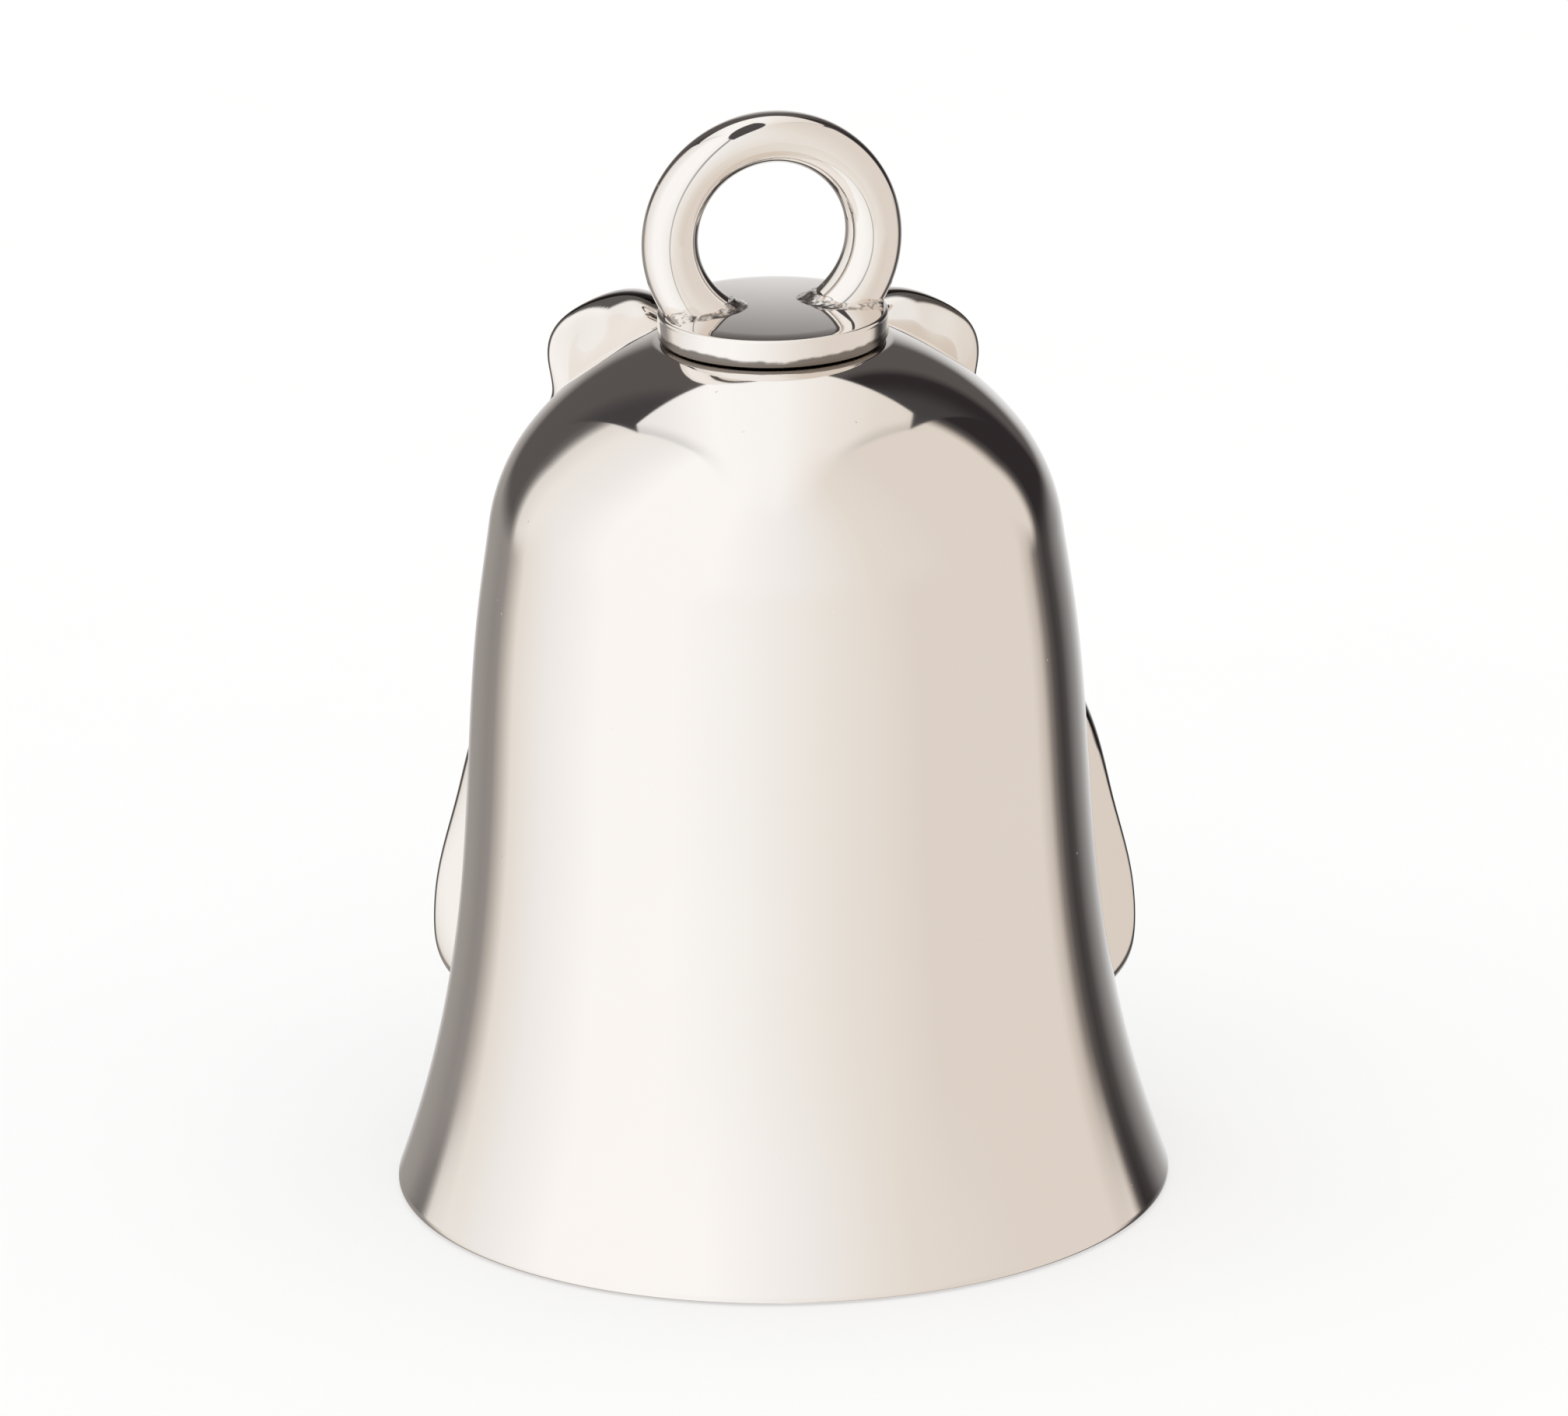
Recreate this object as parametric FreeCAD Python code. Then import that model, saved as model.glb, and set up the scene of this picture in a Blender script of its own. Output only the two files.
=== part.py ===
"""A small flared hanging bell, of the kind tied to a motorcycle frame, with a relief on its front.

Millimetres, +Z up. The origin is the centre of the rim's bottom face. The relief faces +Y, and
the plain back of the bell faces -Y.
The bell is a thin turned shell. A collar with a loop on top turns in its crown on a shouldered
stud, which a washer and an eye nut hold from inside. A clapper hangs from the eye by one link.
"""
import FreeCAD, Part
import math
import os

from FreeCAD import Matrix, Vector

# --- Bell shell -----------------------------------------------------------------------------
RIM_R = 13.2            # outer radius at the rim
WALL = 1.3              # wall thickness, measured square to the wall
RIM_EDGE = 0.2          # rounding of the rim's two edges
RIM_SLOPE = 20.0        # lean of the wall at the rim, in degrees from vertical
WALL_TOP_SLOPE = 8.0    # lean of the wall where the shoulder begins
# Points of the outer wall from the rim to the shoulder, as (radius, height).
WALL_POINTS = [(RIM_R, 0.0), (12.13, 3.0), (11.13, 7.5), (10.47, 14.0), (10.02, 20.0), (9.58, 23.1)]
SHOULDER_R = 6.5        # radius of the shoulder's rounding
CROWN_SLOPE = 38.0      # lean where the shoulder runs into the crown
CROWN_R = 10.5          # radius of the spherical crown
SEAT_Z = 29.46          # flat seat for the collar, outside
INNER_SEAT_Z = 28.06    # flat seat for the washer, inside

# --- Hanger: collar with its stud, and the loop -------------------------------------------------
RUNNING_GAP = 0.05      # radial and end play of the parts that turn
COLLAR_R = 3.85
COLLAR_BAND = 0.96      # height of the collar's upright band
COLLAR_EDGE = (0.24, 0.08)   # the bevel above the band: inwards, upwards
COLLAR_DOME = 0.20      # rise of the domed top
STUD_SHOULDER_R = 1.5
THREAD_R = 1.0
LOOP_R = 3.46           # radius of the loop's centre line
LOOP_TOP_WIRE_R = 0.86  # the loop is slimmest at its top
LOOP_FOOT_WIRE_R = 1.02
LOOP_TOP_Z = 36.44      # height of the centre line's top
LOOP_YAW = 12.0         # the loop stands turned from the relief's plane, in degrees
LOOP_ARC = 140          # the loop is drawn this far down each side, and the collar cuts it off
LOOP_SECTION_STEP = 20  # degrees between the loop's sections
SOLDER = (1.75, 1.35, 0.36)  # half sizes of the solder round each foot of the loop

# --- Inside the crown ------------------------------------------------------------------------
WASHER_R = 2.6
WASHER_H = 0.5
NUT_FLATS = 4.0         # across flats
NUT_H = 1.6
EYE_R = 1.25            # centre line of the eye under the nut
EYE_WIRE_R = 0.45

# --- Link and clapper ------------------------------------------------------------------------
HANG_GAP = 0.03         # clearance where one wire hangs on another
LINK_BEND_R = 0.95
LINK_WIRE_R = 0.35
LINK_DROP = 3.2         # from the link's top wire to its bottom wire
CLAPPER_EYE_R = 1.1
CLAPPER_EYE_WIRE_R = 0.4
ROD_R = 0.55
BALL_R = 2.6
BALL_Z = 4.9
RIVET_R = 0.95          # domed rivet head under the ball
RIVET_SINK = 0.24       # how far the head's centre lies above the rod's end

# --- Front relief: a butterfly cast solid on the bell, whose wings stand out past its sides ----------
# Each line is a level of the wings' front face: height, distance from the bell's axis at the middle,
# and how far behind that axis its centre of curvature lies.
FACE_LEVELS = [(2.0, 13.25, 2.8), (7.5, 11.95, 2.8), (14.0, 11.30, 2.4), (20.0, 10.82, 2.7),
               (24.0, 10.15, 3.0), (27.4, 9.10, 3.3), (31.0, 8.05, 3.3)]
FACE_HALF_ANGLE = 64.0
# Wing outlines as (distance from the middle, height) points of a closed curve.
UPPER_WING = [(0.3, 19.0), (1.1, 23.2), (2.4, 27.3), (4.2, 28.85), (5.8, 28.6), (6.95, 27.75), (7.2, 26.7),
              (7.15, 25.6), (8.1, 24.1), (9.2, 21.9), (9.1, 19.8), (7.8, 18.3), (5.2, 17.4), (2.2, 16.8)]
LOWER_WING = [(0.3, 16.4), (3.0, 17.0), (7.0, 16.8), (9.1, 15.8), (10.3, 14.0), (11.1, 11.6), (11.7, 9.2),
              (11.88, 7.3), (11.6, 5.6), (10.4, 4.4), (7.8, 4.7), (4.6, 7.1), (1.7, 11.4)]
# Each pair's flat back: a point on it, as distance from the middle and y, and how far it turns outwards.
UPPER_BACK = (7.2, 6.25, 4.0)
LOWER_BACK = (11.88, 4.9, 20.0)
# The casting is not quite symmetrical: each pair of wings sits off the middle and is turned about Y.
UPPER_PAIR = (-0.33, 0.0)
LOWER_PAIR = (0.23, 0.8)
PAIR_PIVOT_Z = 13.0
# The body is turned from (radius, height) points, then leans back with the bell's wall.
BODY_POINTS = [(0.2, 7.4), (0.8, 9.2), (1.2, 12.4), (1.05, 15.0), (1.75, 18.0), (1.15, 20.4), (1.3, 21.9),
               (0.3, 23.3)]
BODY_Y = 11.1           # the body's axis at BODY_PIVOT_Z
BODY_PIVOT_Z = 17.0
BODY_LEAN = 5.0
FEELER_WIRE_R = 0.28
FEELER_KNOB_R = 0.48
# The feeler's centre line, as (distance from the middle, y, z).
FEELER_PATH = [(0.5, 10.3, 22.2), (1.0, 9.75, 24.2), (2.0, 8.35, 26.0), (3.3, 7.0, 26.8)]


def circle_wire(radius, centre, normal):
    return Part.Wire([Part.Circle(centre, normal, radius).toShape()])


def arc(centre, radius, start, end):
    """An arc in the XZ plane between two angles in degrees, counted from +X towards +Z."""
    points = [centre + radius * Vector(math.cos(math.radians(a)), 0, math.sin(math.radians(a)))
              for a in (start, (start + end) / 2, end)]
    return Part.Arc(*points).toShape(), points[0], points[2]


def leaning(slope):
    """A unit vector that points up and towards the axis, leaning by slope degrees."""
    return Vector(-math.sin(math.radians(slope)), 0, math.cos(math.radians(slope)))


def bell_face(inset):
    """The edges of one face of the wall from rim to crown, moved inwards by inset, and its arcs' data."""
    outer = Part.BSplineCurve()
    points = [Vector(r, 0, z) for r, z in WALL_POINTS]
    outer.interpolate(Points=points, InitialTangent=leaning(RIM_SLOPE), FinalTangent=leaning(WALL_TOP_SLOPE))
    moved = []
    for p in points:
        along = outer.tangent(outer.parameter(p))[0]
        moved.append(p + inset * Vector(-along.z, 0, along.x))
    moved[0] = moved[0] + leaning(RIM_SLOPE) * (-moved[0].z / leaning(RIM_SLOPE).z)
    wall = Part.BSplineCurve()
    wall.interpolate(Points=moved, InitialTangent=leaning(RIM_SLOPE), FinalTangent=leaning(WALL_TOP_SLOPE))
    shoulder_centre = points[-1] - SHOULDER_R * Vector(
        math.cos(math.radians(WALL_TOP_SLOPE)), 0, math.sin(math.radians(WALL_TOP_SLOPE)))
    shoulder, _, join = arc(shoulder_centre, SHOULDER_R - inset, WALL_TOP_SLOPE, CROWN_SLOPE)
    crown_centre_z = join.z - (CROWN_R - inset) * math.sin(math.radians(CROWN_SLOPE))
    crown_centre_x = join.x - (CROWN_R - inset) * math.cos(math.radians(CROWN_SLOPE))
    return wall.toShape(), shoulder, Vector(crown_centre_x, 0, crown_centre_z), CROWN_R - inset, moved[0]


def bell_profile(inset, top_z):
    """Edges from the rim up to the flat at top_z, with the first and the last point."""
    wall, shoulder, centre, radius, first = bell_face(inset)
    last_angle = math.degrees(math.asin((top_z - centre.z) / radius))
    crown, _, last = arc(centre, radius, CROWN_SLOPE, last_angle)
    return [wall, shoulder, crown], first, last


def turned(edges):
    return Part.Face(Part.Wire(Part.sortEdges(edges)[0])).revolve(Vector(), Vector(0, 0, 1), 360)


def turned_polygon(points):
    """A solid turned about Z from (radius, height) corners."""
    corners = [Vector(r, 0, z) for r, z in points]
    return Part.Face(Part.makePolygon(corners + corners[:1])).revolve(Vector(), Vector(0, 0, 1), 360)


def line(a, b):
    return Part.LineSegment(a, b).toShape()


def bell_shell():
    outside, rim_out, seat = bell_profile(0, SEAT_Z)
    inside, rim_in, inner_seat = bell_profile(WALL, INNER_SEAT_Z)
    hole_r = STUD_SHOULDER_R + RUNNING_GAP
    top, bottom = Vector(hole_r, 0, SEAT_Z), Vector(hole_r, 0, INNER_SEAT_Z)
    shell = turned(outside + [line(seat, top), line(top, bottom), line(bottom, inner_seat)]
                   + inside + [line(rim_in, rim_out)])
    rim_edges = [e for e in shell.Edges if abs(e.BoundBox.ZMax) < 1e-6 and e.BoundBox.XLength > RIM_R]
    return shell.makeFillet(RIM_EDGE, rim_edges)


def bell_outer_solid():
    """The bell with its hollow filled, to cut the relief's back to the wall."""
    outside, rim, seat = bell_profile(0, SEAT_Z)
    axis_top, axis_bottom = Vector(0, 0, seat.z), Vector()
    return turned(outside + [line(seat, axis_top), line(axis_top, axis_bottom), line(axis_bottom, rim)])


COLLAR_Z = SEAT_Z + RUNNING_GAP
COLLAR_TOP_Z = COLLAR_Z + COLLAR_BAND + COLLAR_EDGE[1]
SHOULDER_Z = INNER_SEAT_Z - RUNNING_GAP
WASHER_Z = SHOULDER_Z - WASHER_H
NUT_Z = WASHER_Z - NUT_H
EYE_Z = NUT_Z - EYE_R + EYE_WIRE_R / 2
LINK_PIVOT_Z = EYE_Z - EYE_R
LINK_TOP_Z = LINK_PIVOT_Z + EYE_WIRE_R + LINK_WIRE_R + HANG_GAP
CLAPPER_PIVOT_Z = LINK_TOP_Z - LINK_DROP
CLAPPER_EYE_Z = CLAPPER_PIVOT_Z + LINK_WIRE_R + CLAPPER_EYE_WIRE_R + HANG_GAP - CLAPPER_EYE_R


def collar():
    """The collar, its domed top and the shouldered stud under it, in one piece."""
    top_r = COLLAR_R - COLLAR_EDGE[0]
    corners = [(0, NUT_Z + EYE_WIRE_R), (THREAD_R, NUT_Z + EYE_WIRE_R), (THREAD_R, SHOULDER_Z),
               (STUD_SHOULDER_R, SHOULDER_Z), (STUD_SHOULDER_R, COLLAR_Z), (COLLAR_R, COLLAR_Z),
               (COLLAR_R, COLLAR_TOP_Z - COLLAR_EDGE[1]), (top_r, COLLAR_TOP_Z)]
    points = [Vector(r, 0, z) for r, z in corners]
    dome_r = (top_r ** 2 + COLLAR_DOME ** 2) / (2 * COLLAR_DOME)
    apex = Vector(0, 0, COLLAR_TOP_Z + COLLAR_DOME)
    middle_r = top_r / 2
    middle = Vector(middle_r, 0, apex.z - dome_r + math.sqrt(dome_r ** 2 - middle_r ** 2))
    dome = Part.Arc(points[-1], middle, apex).toShape()
    edges = [line(a, b) for a, b in zip(points, points[1:])] + [dome, line(apex, points[0])]
    return turned(edges)


def loop(collar_solid):
    """A ring that thickens from its top to its feet, cut off where it meets the collar's dome."""
    centre_z = LOOP_TOP_Z - LOOP_R
    sections = []
    for degrees in range(-LOOP_ARC, LOOP_ARC + 1, LOOP_SECTION_STEP):
        angle = math.radians(degrees)
        swell = (1 - math.cos(angle)) / 2
        radius = LOOP_TOP_WIRE_R + (LOOP_FOOT_WIRE_R - LOOP_TOP_WIRE_R) * swell
        centre = Vector(LOOP_R * math.sin(angle), 0, centre_z + LOOP_R * math.cos(angle))
        sections.append(circle_wire(radius, centre, Vector(math.cos(angle), 0, -math.sin(angle))))
    ring = Part.makeLoft(sections, True)
    ring.rotate(Vector(), Vector(0, 0, 1), LOOP_YAW)
    return ring.cut(collar_solid)


def loop_solder(collar_solid, ring):
    """A low fillet of solder round each foot of the loop."""
    foot_z = COLLAR_TOP_Z + COLLAR_DOME / 2
    reach = LOOP_TOP_Z - LOOP_R - foot_z
    foot_x = math.sqrt(LOOP_R ** 2 - reach ** 2)
    height = SOLDER[2]
    collar_top = Part.makeCylinder(COLLAR_R - COLLAR_EDGE[0], 3 * height, Vector(0, 0, COLLAR_TOP_Z - height))
    fillets = []
    for side in (-1, 1):
        mound = Part.makeSphere(1).transformGeometry(scale(*SOLDER))
        mound.translate(Vector(side * foot_x, 0, foot_z))
        mound.rotate(Vector(), Vector(0, 0, 1), LOOP_YAW)
        fillets += mound.common(collar_top).cut(collar_solid).cut(ring).Solids
    return Part.Compound(fillets)


def scale(x, y, z):
    matrix = Matrix()
    matrix.scale(Vector(x, y, z))
    return matrix


def washer():
    inner = THREAD_R + RUNNING_GAP
    corners = [(inner, WASHER_Z), (WASHER_R, WASHER_Z), (WASHER_R, SHOULDER_Z), (inner, SHOULDER_Z)]
    return turned_polygon(corners)


def upright_ring(radius, wire_r, centre_z):
    """A ring in the XZ plane."""
    return Part.makeTorus(radius, wire_r, Vector(0, 0, centre_z), Vector(0, 1, 0))


def eye_nut():
    """A hexagon nut with an eye under it, screwed up against the washer."""
    corner = NUT_FLATS / math.sqrt(3)
    angles = [math.radians(60 * i) for i in range(7)]
    points = [Vector(corner * math.cos(a), corner * math.sin(a), NUT_Z) for a in angles]
    block = Part.Face(Part.makePolygon(points)).extrude(Vector(0, 0, NUT_H))
    nut = block.fuse(upright_ring(EYE_R, EYE_WIRE_R, EYE_Z)).removeSplitter()
    bore_z = NUT_Z + EYE_WIRE_R
    return nut.cut(Part.makeCylinder(THREAD_R, NUT_H, Vector(0, 0, bore_z)))


def clapper_link():
    """A closed oval of wire in the YZ plane."""
    top, bottom = LINK_TOP_Z - LINK_BEND_R, CLAPPER_PIVOT_Z + LINK_BEND_R
    bend = LINK_BEND_R
    path = Part.Wire([
        Part.Arc(Vector(0, -bend, top), Vector(0, 0, top + bend), Vector(0, bend, top)).toShape(),
        line(Vector(0, bend, top), Vector(0, bend, bottom)),
        Part.Arc(Vector(0, bend, bottom), Vector(0, 0, bottom - bend), Vector(0, -bend, bottom)).toShape(),
        line(Vector(0, -bend, bottom), Vector(0, -bend, top))])
    return path.makePipeShell([circle_wire(LINK_WIRE_R, Vector(0, -bend, top), Vector(0, 0, 1))], True, False)


def clapper_rod():
    """The clapper's rod with its eye, and a rivet head under the ball."""
    eye_foot = CLAPPER_EYE_Z - CLAPPER_EYE_R
    end_z = BALL_Z - BALL_R
    rod = Part.makeCylinder(ROD_R, eye_foot - end_z, Vector(0, 0, end_z))
    head = Part.makeSphere(RIVET_R, Vector(0, 0, end_z + RIVET_SINK))
    below_ball = head.cut(Part.makeSphere(BALL_R, Vector(0, 0, BALL_Z)))
    eye = upright_ring(CLAPPER_EYE_R, CLAPPER_EYE_WIRE_R, CLAPPER_EYE_Z)
    return rod.fuse([below_ball, eye]).removeSplitter()


def clapper_ball():
    ball = Part.makeSphere(BALL_R, Vector(0, 0, BALL_Z))
    return ball.cut(Part.makeCylinder(ROD_R, 3 * BALL_R, Vector(0, 0, BALL_Z - 1.5 * BALL_R)))


def face_block():
    """A block whose curved front is the wings' front face, and whose flat back lies inside the bell."""
    sections = []
    for z, front, behind in FACE_LEVELS:
        radius = front + behind
        points = [Vector(radius * math.sin(math.radians(a)), radius * math.cos(math.radians(a)) - behind, z)
                  for a in (-FACE_HALF_ANGLE, 0, FACE_HALF_ANGLE)]
        sections.append(Part.Wire([Part.Arc(*points).toShape(), line(points[2], points[0])]))
    return Part.makeLoft(sections, True)


def wing_prism(outline, side, back):
    """A wing's outline, as (x, z) points, drawn out along Y in front of its slanting flat back."""
    curve = Part.BSplineCurve()
    curve.interpolate(Points=[Vector(side * x, 0, z) for x, z in outline], PeriodicFlag=True)
    prism = Part.Face(Part.Wire([curve.toShape()])).extrude(Vector(0, 2 * RIM_R, 0))
    size = 4 * RIM_R
    behind = Part.makeBox(size, size, size, Vector(-size / 2, -size, -size / 2))
    back_x, back_y, slant = back
    behind.rotate(Vector(), Vector(0, 0, 1), side * slant)
    behind.translate(Vector(side * back_x, back_y, 0))
    return prism.cut(behind)


def butterfly_body():
    """Abdomen, thorax and head as one spindle, leaning with the wall."""
    curve = Part.BSplineCurve()
    points = [Vector(r, 0, z) for r, z in BODY_POINTS]
    curve.interpolate(points)
    foot, top = Vector(0, 0, points[0].z), Vector(0, 0, points[-1].z)
    spindle = turned([curve.toShape(), line(points[-1], top), line(top, foot), line(foot, points[0])])
    spindle.rotate(Vector(0, 0, BODY_PIVOT_Z), Vector(1, 0, 0), BODY_LEAN)
    spindle.translate(Vector(0, BODY_Y, 0))
    return spindle


def feeler(side):
    """One feeler, bent up over the shoulder between the upper wings."""
    path = Part.BSplineCurve()
    path.interpolate([Vector(side * x, y, z) for x, y, z in FEELER_PATH])
    wire = Part.Wire([path.toShape()])
    start = path.value(path.FirstParameter)
    ring = circle_wire(FEELER_WIRE_R, start, path.tangent(path.FirstParameter)[0])
    knob = Part.makeSphere(FEELER_KNOB_R, path.value(path.LastParameter))
    return wire.makePipeShell([ring], True, False).fuse(knob)


def wing_pair(block, outline, back, placing):
    """Both wings of a pair, cut from the block and set to their own place."""
    shift, turn = placing
    pair = []
    for side in (-1, 1):
        wing = block.common(wing_prism(outline, side, back))
        wing.rotate(Vector(0, 0, PAIR_PIVOT_Z), Vector(0, 1, 0), turn)
        wing.translate(Vector(shift, 0, 0))
        pair.append(wing)
    return pair


def front_relief():
    """Four wings, a body and two feelers in one casting, joined to the bell's wall."""
    block = face_block()
    relief = butterfly_body()
    wings = wing_pair(block, UPPER_WING, UPPER_BACK, UPPER_PAIR)
    wings += wing_pair(block, LOWER_WING, LOWER_BACK, LOWER_PAIR)
    for piece in wings + [feeler(-1), feeler(1)]:
        relief = relief.fuse(piece)
    return relief.cut(bell_outer_solid())


def main():
    os.makedirs("parts", exist_ok=True)
    collar_solid = collar()
    ring = loop(collar_solid)
    nodes = {
        "bell_shell": bell_shell(),
        "front_relief": front_relief(),
        "collar_stud": collar_solid,
        "hanger_loop": ring,
        "loop_solder": loop_solder(collar_solid, ring),
        "stud_washer": washer(),
        "eye_nut": eye_nut(),
        "clapper_link": clapper_link(),
        "clapper_rod": clapper_rod(),
        "clapper_ball": clapper_ball(),
    }
    for name, shape in nodes.items():
        shape.exportStep(f"parts/{name}.step")
        box = shape.BoundBox
        print(f"{name}: valid {shape.isValid()}, {len(shape.Solids)} solid(s), {shape.Volume:.2f} mm3,",
              f"x {box.XMin:.2f} to {box.XMax:.2f}, y {box.YMin:.2f} to {box.YMax:.2f},",
              f"z {box.ZMin:.2f} to {box.ZMax:.2f}")
    print(f"link pivot z {LINK_PIVOT_Z:.3f}, clapper pivot z {CLAPPER_PIVOT_Z:.3f}, eye z {EYE_Z:.3f}")


main()
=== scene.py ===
"""Looks for a small polished hanging bell with a butterfly relief.

Lengths in the shape functions are millimetres, as in the CAD source, and are turned into metres
when a mesh is made. +Z is up, the relief faces +Y and the plain back of the bell faces -Y.
"""

import math

import bpy
import numpy as np
from mathutils import Matrix, Quaternion, Vector, noise


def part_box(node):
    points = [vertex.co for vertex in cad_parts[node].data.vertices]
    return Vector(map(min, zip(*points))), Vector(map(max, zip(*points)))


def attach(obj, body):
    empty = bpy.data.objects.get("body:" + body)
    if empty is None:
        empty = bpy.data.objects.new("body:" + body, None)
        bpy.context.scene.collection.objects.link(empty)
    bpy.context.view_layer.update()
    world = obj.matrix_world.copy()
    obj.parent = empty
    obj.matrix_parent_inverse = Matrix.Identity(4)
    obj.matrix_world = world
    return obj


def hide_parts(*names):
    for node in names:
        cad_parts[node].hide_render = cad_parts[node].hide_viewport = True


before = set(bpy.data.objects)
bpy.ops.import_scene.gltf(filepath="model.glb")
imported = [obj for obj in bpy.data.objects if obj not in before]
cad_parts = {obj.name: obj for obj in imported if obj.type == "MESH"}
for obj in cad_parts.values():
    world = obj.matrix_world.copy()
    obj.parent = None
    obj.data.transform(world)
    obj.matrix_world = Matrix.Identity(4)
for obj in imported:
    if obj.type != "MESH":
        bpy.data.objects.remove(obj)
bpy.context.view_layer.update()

MM = 0.001


def node_box(name):
    """Lowest and highest corner of a CAD node, in millimetres."""
    low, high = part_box(name)
    return np.array(low) / MM, np.array(high) / MM


# --- Driving dimensions ---
# Bell shell
RIM_R = node_box("bell_shell")[1][0]
WALL = 1.3
RIM_EDGE = 0.2
RIM_SLOPE = 20.0
WALL_TOP_SLOPE = 8.0
WALL_POINTS = [(RIM_R, 0.0), (12.13, 3.0), (11.13, 7.5), (10.47, 14.0), (10.02, 20.0), (9.58, 23.1)]
SHOULDER_R = 6.5
CROWN_SLOPE = 38.0
CROWN_R = 10.5
SEAT_Z = node_box("bell_shell")[1][2]
INNER_SEAT_Z = SEAT_Z - 1.4
HOLE_R = 1.55

# Hanger
COLLAR_Z = SEAT_Z + 0.05
COLLAR_R = 3.85
COLLAR_TOP_Z = COLLAR_Z + 1.04
COLLAR_DOME = 0.20
COLLAR_TOP_BEVEL = 0.13
COLLAR_FOOT_ROUNDING = 0.24
COLLAR_DOME_R = COLLAR_R - 0.24
COLLAR_BULGE = 0.035    # how much fuller the collar's band is at its middle
STUD_R = 1.5
THREAD_R = 1.0
THREAD_END_Z = node_box("collar_stud")[0][2]
LOOP_R = 3.46
LOOP_TOP_WIRE_R = 0.86
LOOP_FOOT_WIRE_R = 1.02
LOOP_TOP_Z = 36.44
LOOP_YAW = 12.0
LOOP_FOOT_ANGLE = 141.0     # where its ends stop inside the collar, counted from its top
SOLDER_WIDTH = 0.5
SOLDER_RISE = 0.13
SOLDER_LUMPS = 0.022
SOLDER_BEADS = 0.012

# Relief
FACE_LEVELS = [(2.0, 13.25, 2.8), (7.5, 11.95, 2.8), (14.0, 11.30, 2.4), (20.0, 10.82, 2.7),
               (24.0, 10.15, 3.0), (27.4, 9.10, 3.3), (31.0, 8.05, 3.3)]
UPPER_BACK = (7.2, 6.25, 4.0)
LOWER_BACK = (11.88, 4.9, 20.0)
BACK_SINK = 0.35        # how deep the castings' backs lie in the bell's wall
UPPER_WING = [(0.3, 19.0), (1.1, 23.2), (2.4, 27.3), (4.2, 28.85), (5.8, 28.6), (6.95, 27.75), (7.2, 26.7),
              (7.15, 25.6), (8.1, 24.1), (9.2, 21.9), (9.1, 19.8), (7.8, 18.3), (5.2, 17.4), (2.2, 16.8)]
LOWER_WING = [(0.3, 16.4), (3.0, 17.0), (7.0, 16.8), (9.3, 16.0), (10.42, 14.2), (11.1, 11.6), (11.7, 9.2),
              (11.88, 7.3), (11.6, 5.6), (10.4, 4.4), (7.8, 4.7), (4.6, 7.1), (1.7, 11.4)]
UPPER_PAIR = (-0.33, 0.0)
LOWER_PAIR = (0.23, 0.8)
PAIR_PIVOT_Z = 13.0
BODY_POINTS = [(0.2, 7.4), (0.8, 9.2), (1.2, 12.4), (1.05, 15.0), (1.75, 18.0), (1.15, 20.4), (1.3, 21.9),
               (0.3, 23.3)]
BODY_Y = 11.1
BODY_PIVOT_Z = 17.0
BODY_LEAN = 5.0
EYE_R = 0.46
EYE_PLACE = (0.88, 0.78, 21.75)
RING_PITCH = 0.9
HAIR_PITCH = 0.36
FEELER_R = 0.24
VEIN_DEPTH = 0.26
PEARL_SPACING, PEARL_INSET, PEARL_R, PEARL_HEIGHT = 0.78, 0.5, 0.2, 0.13
FEELER_PATH = [(0.5, 10.3, 22.2), (1.0, 9.75, 24.2), (2.0, 8.35, 26.0), (3.3, 7.0, 26.8)]


# --- Curves ---
def spline(points, count, closed=False, start=None, end=None):
    """Points along a smooth cubic curve through the given ones, with optional end directions."""
    points = np.array(points, float)
    if closed:
        points = np.vstack([points, points[:1]])
    steps = np.linalg.norm(np.diff(points, axis=0), axis=1)
    knots = np.concatenate([[0.0], np.cumsum(steps)])
    last = len(points) - 1
    matrix = np.zeros((last + 1, last + 1))
    right = np.zeros_like(points)
    slope = np.diff(points, axis=0) / steps[:, None]
    for i in range(1, last):
        matrix[i, i - 1:i + 2] = [1 / steps[i - 1], 2 / steps[i - 1] + 2 / steps[i], 1 / steps[i]]
        right[i] = 3 * (slope[i - 1] / steps[i - 1] + slope[i] / steps[i])
    if closed:
        matrix[0, [0, 1]] = [2 / steps[-1] + 2 / steps[0], 1 / steps[0]]
        matrix[0, last - 1] += 1 / steps[-1]
        right[0] = 3 * (slope[-1] / steps[-1] + slope[0] / steps[0])
        matrix[last, [0, last]] = [-1, 1]
    else:
        for row, near, direction, piece in ((0, 1, start, 0), (last, last - 1, end, last - 1)):
            matrix[row, row] = 1
            if direction is None:
                matrix[row, near] = 0.5
                right[row] = 1.5 * slope[piece]
            else:
                right[row] = direction
    tangents = np.linalg.solve(matrix, right)
    places = np.linspace(0, knots[-1], count, endpoint=not closed)
    piece = np.clip(np.searchsorted(knots, places, side="right") - 1, 0, last - 1)
    h = steps[piece][:, None]
    t = ((places - knots[piece]) / steps[piece])[:, None]
    return ((1 + 2 * t) * (1 - t) ** 2 * points[piece] + t * (1 - t) ** 2 * h * tangents[piece]
            + t * t * (3 - 2 * t) * points[piece + 1] + t * t * (t - 1) * h * tangents[piece + 1])


def arc(centre, radius, start, end, count):
    """Points of an arc between two angles in degrees, as (radius, height)."""
    angles = np.radians(np.linspace(start, end, count))
    return np.stack([centre[0] + radius * np.cos(angles), centre[1] + radius * np.sin(angles)], 1)


def smooth(value, low, high):
    """0 below low, 1 above high, and an even S between them."""
    t = np.clip((value - low) / (high - low), 0, 1)
    return t * t * (3 - 2 * t)


def leaning(slope):
    return np.array([-math.sin(math.radians(slope)), math.cos(math.radians(slope))])


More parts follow.
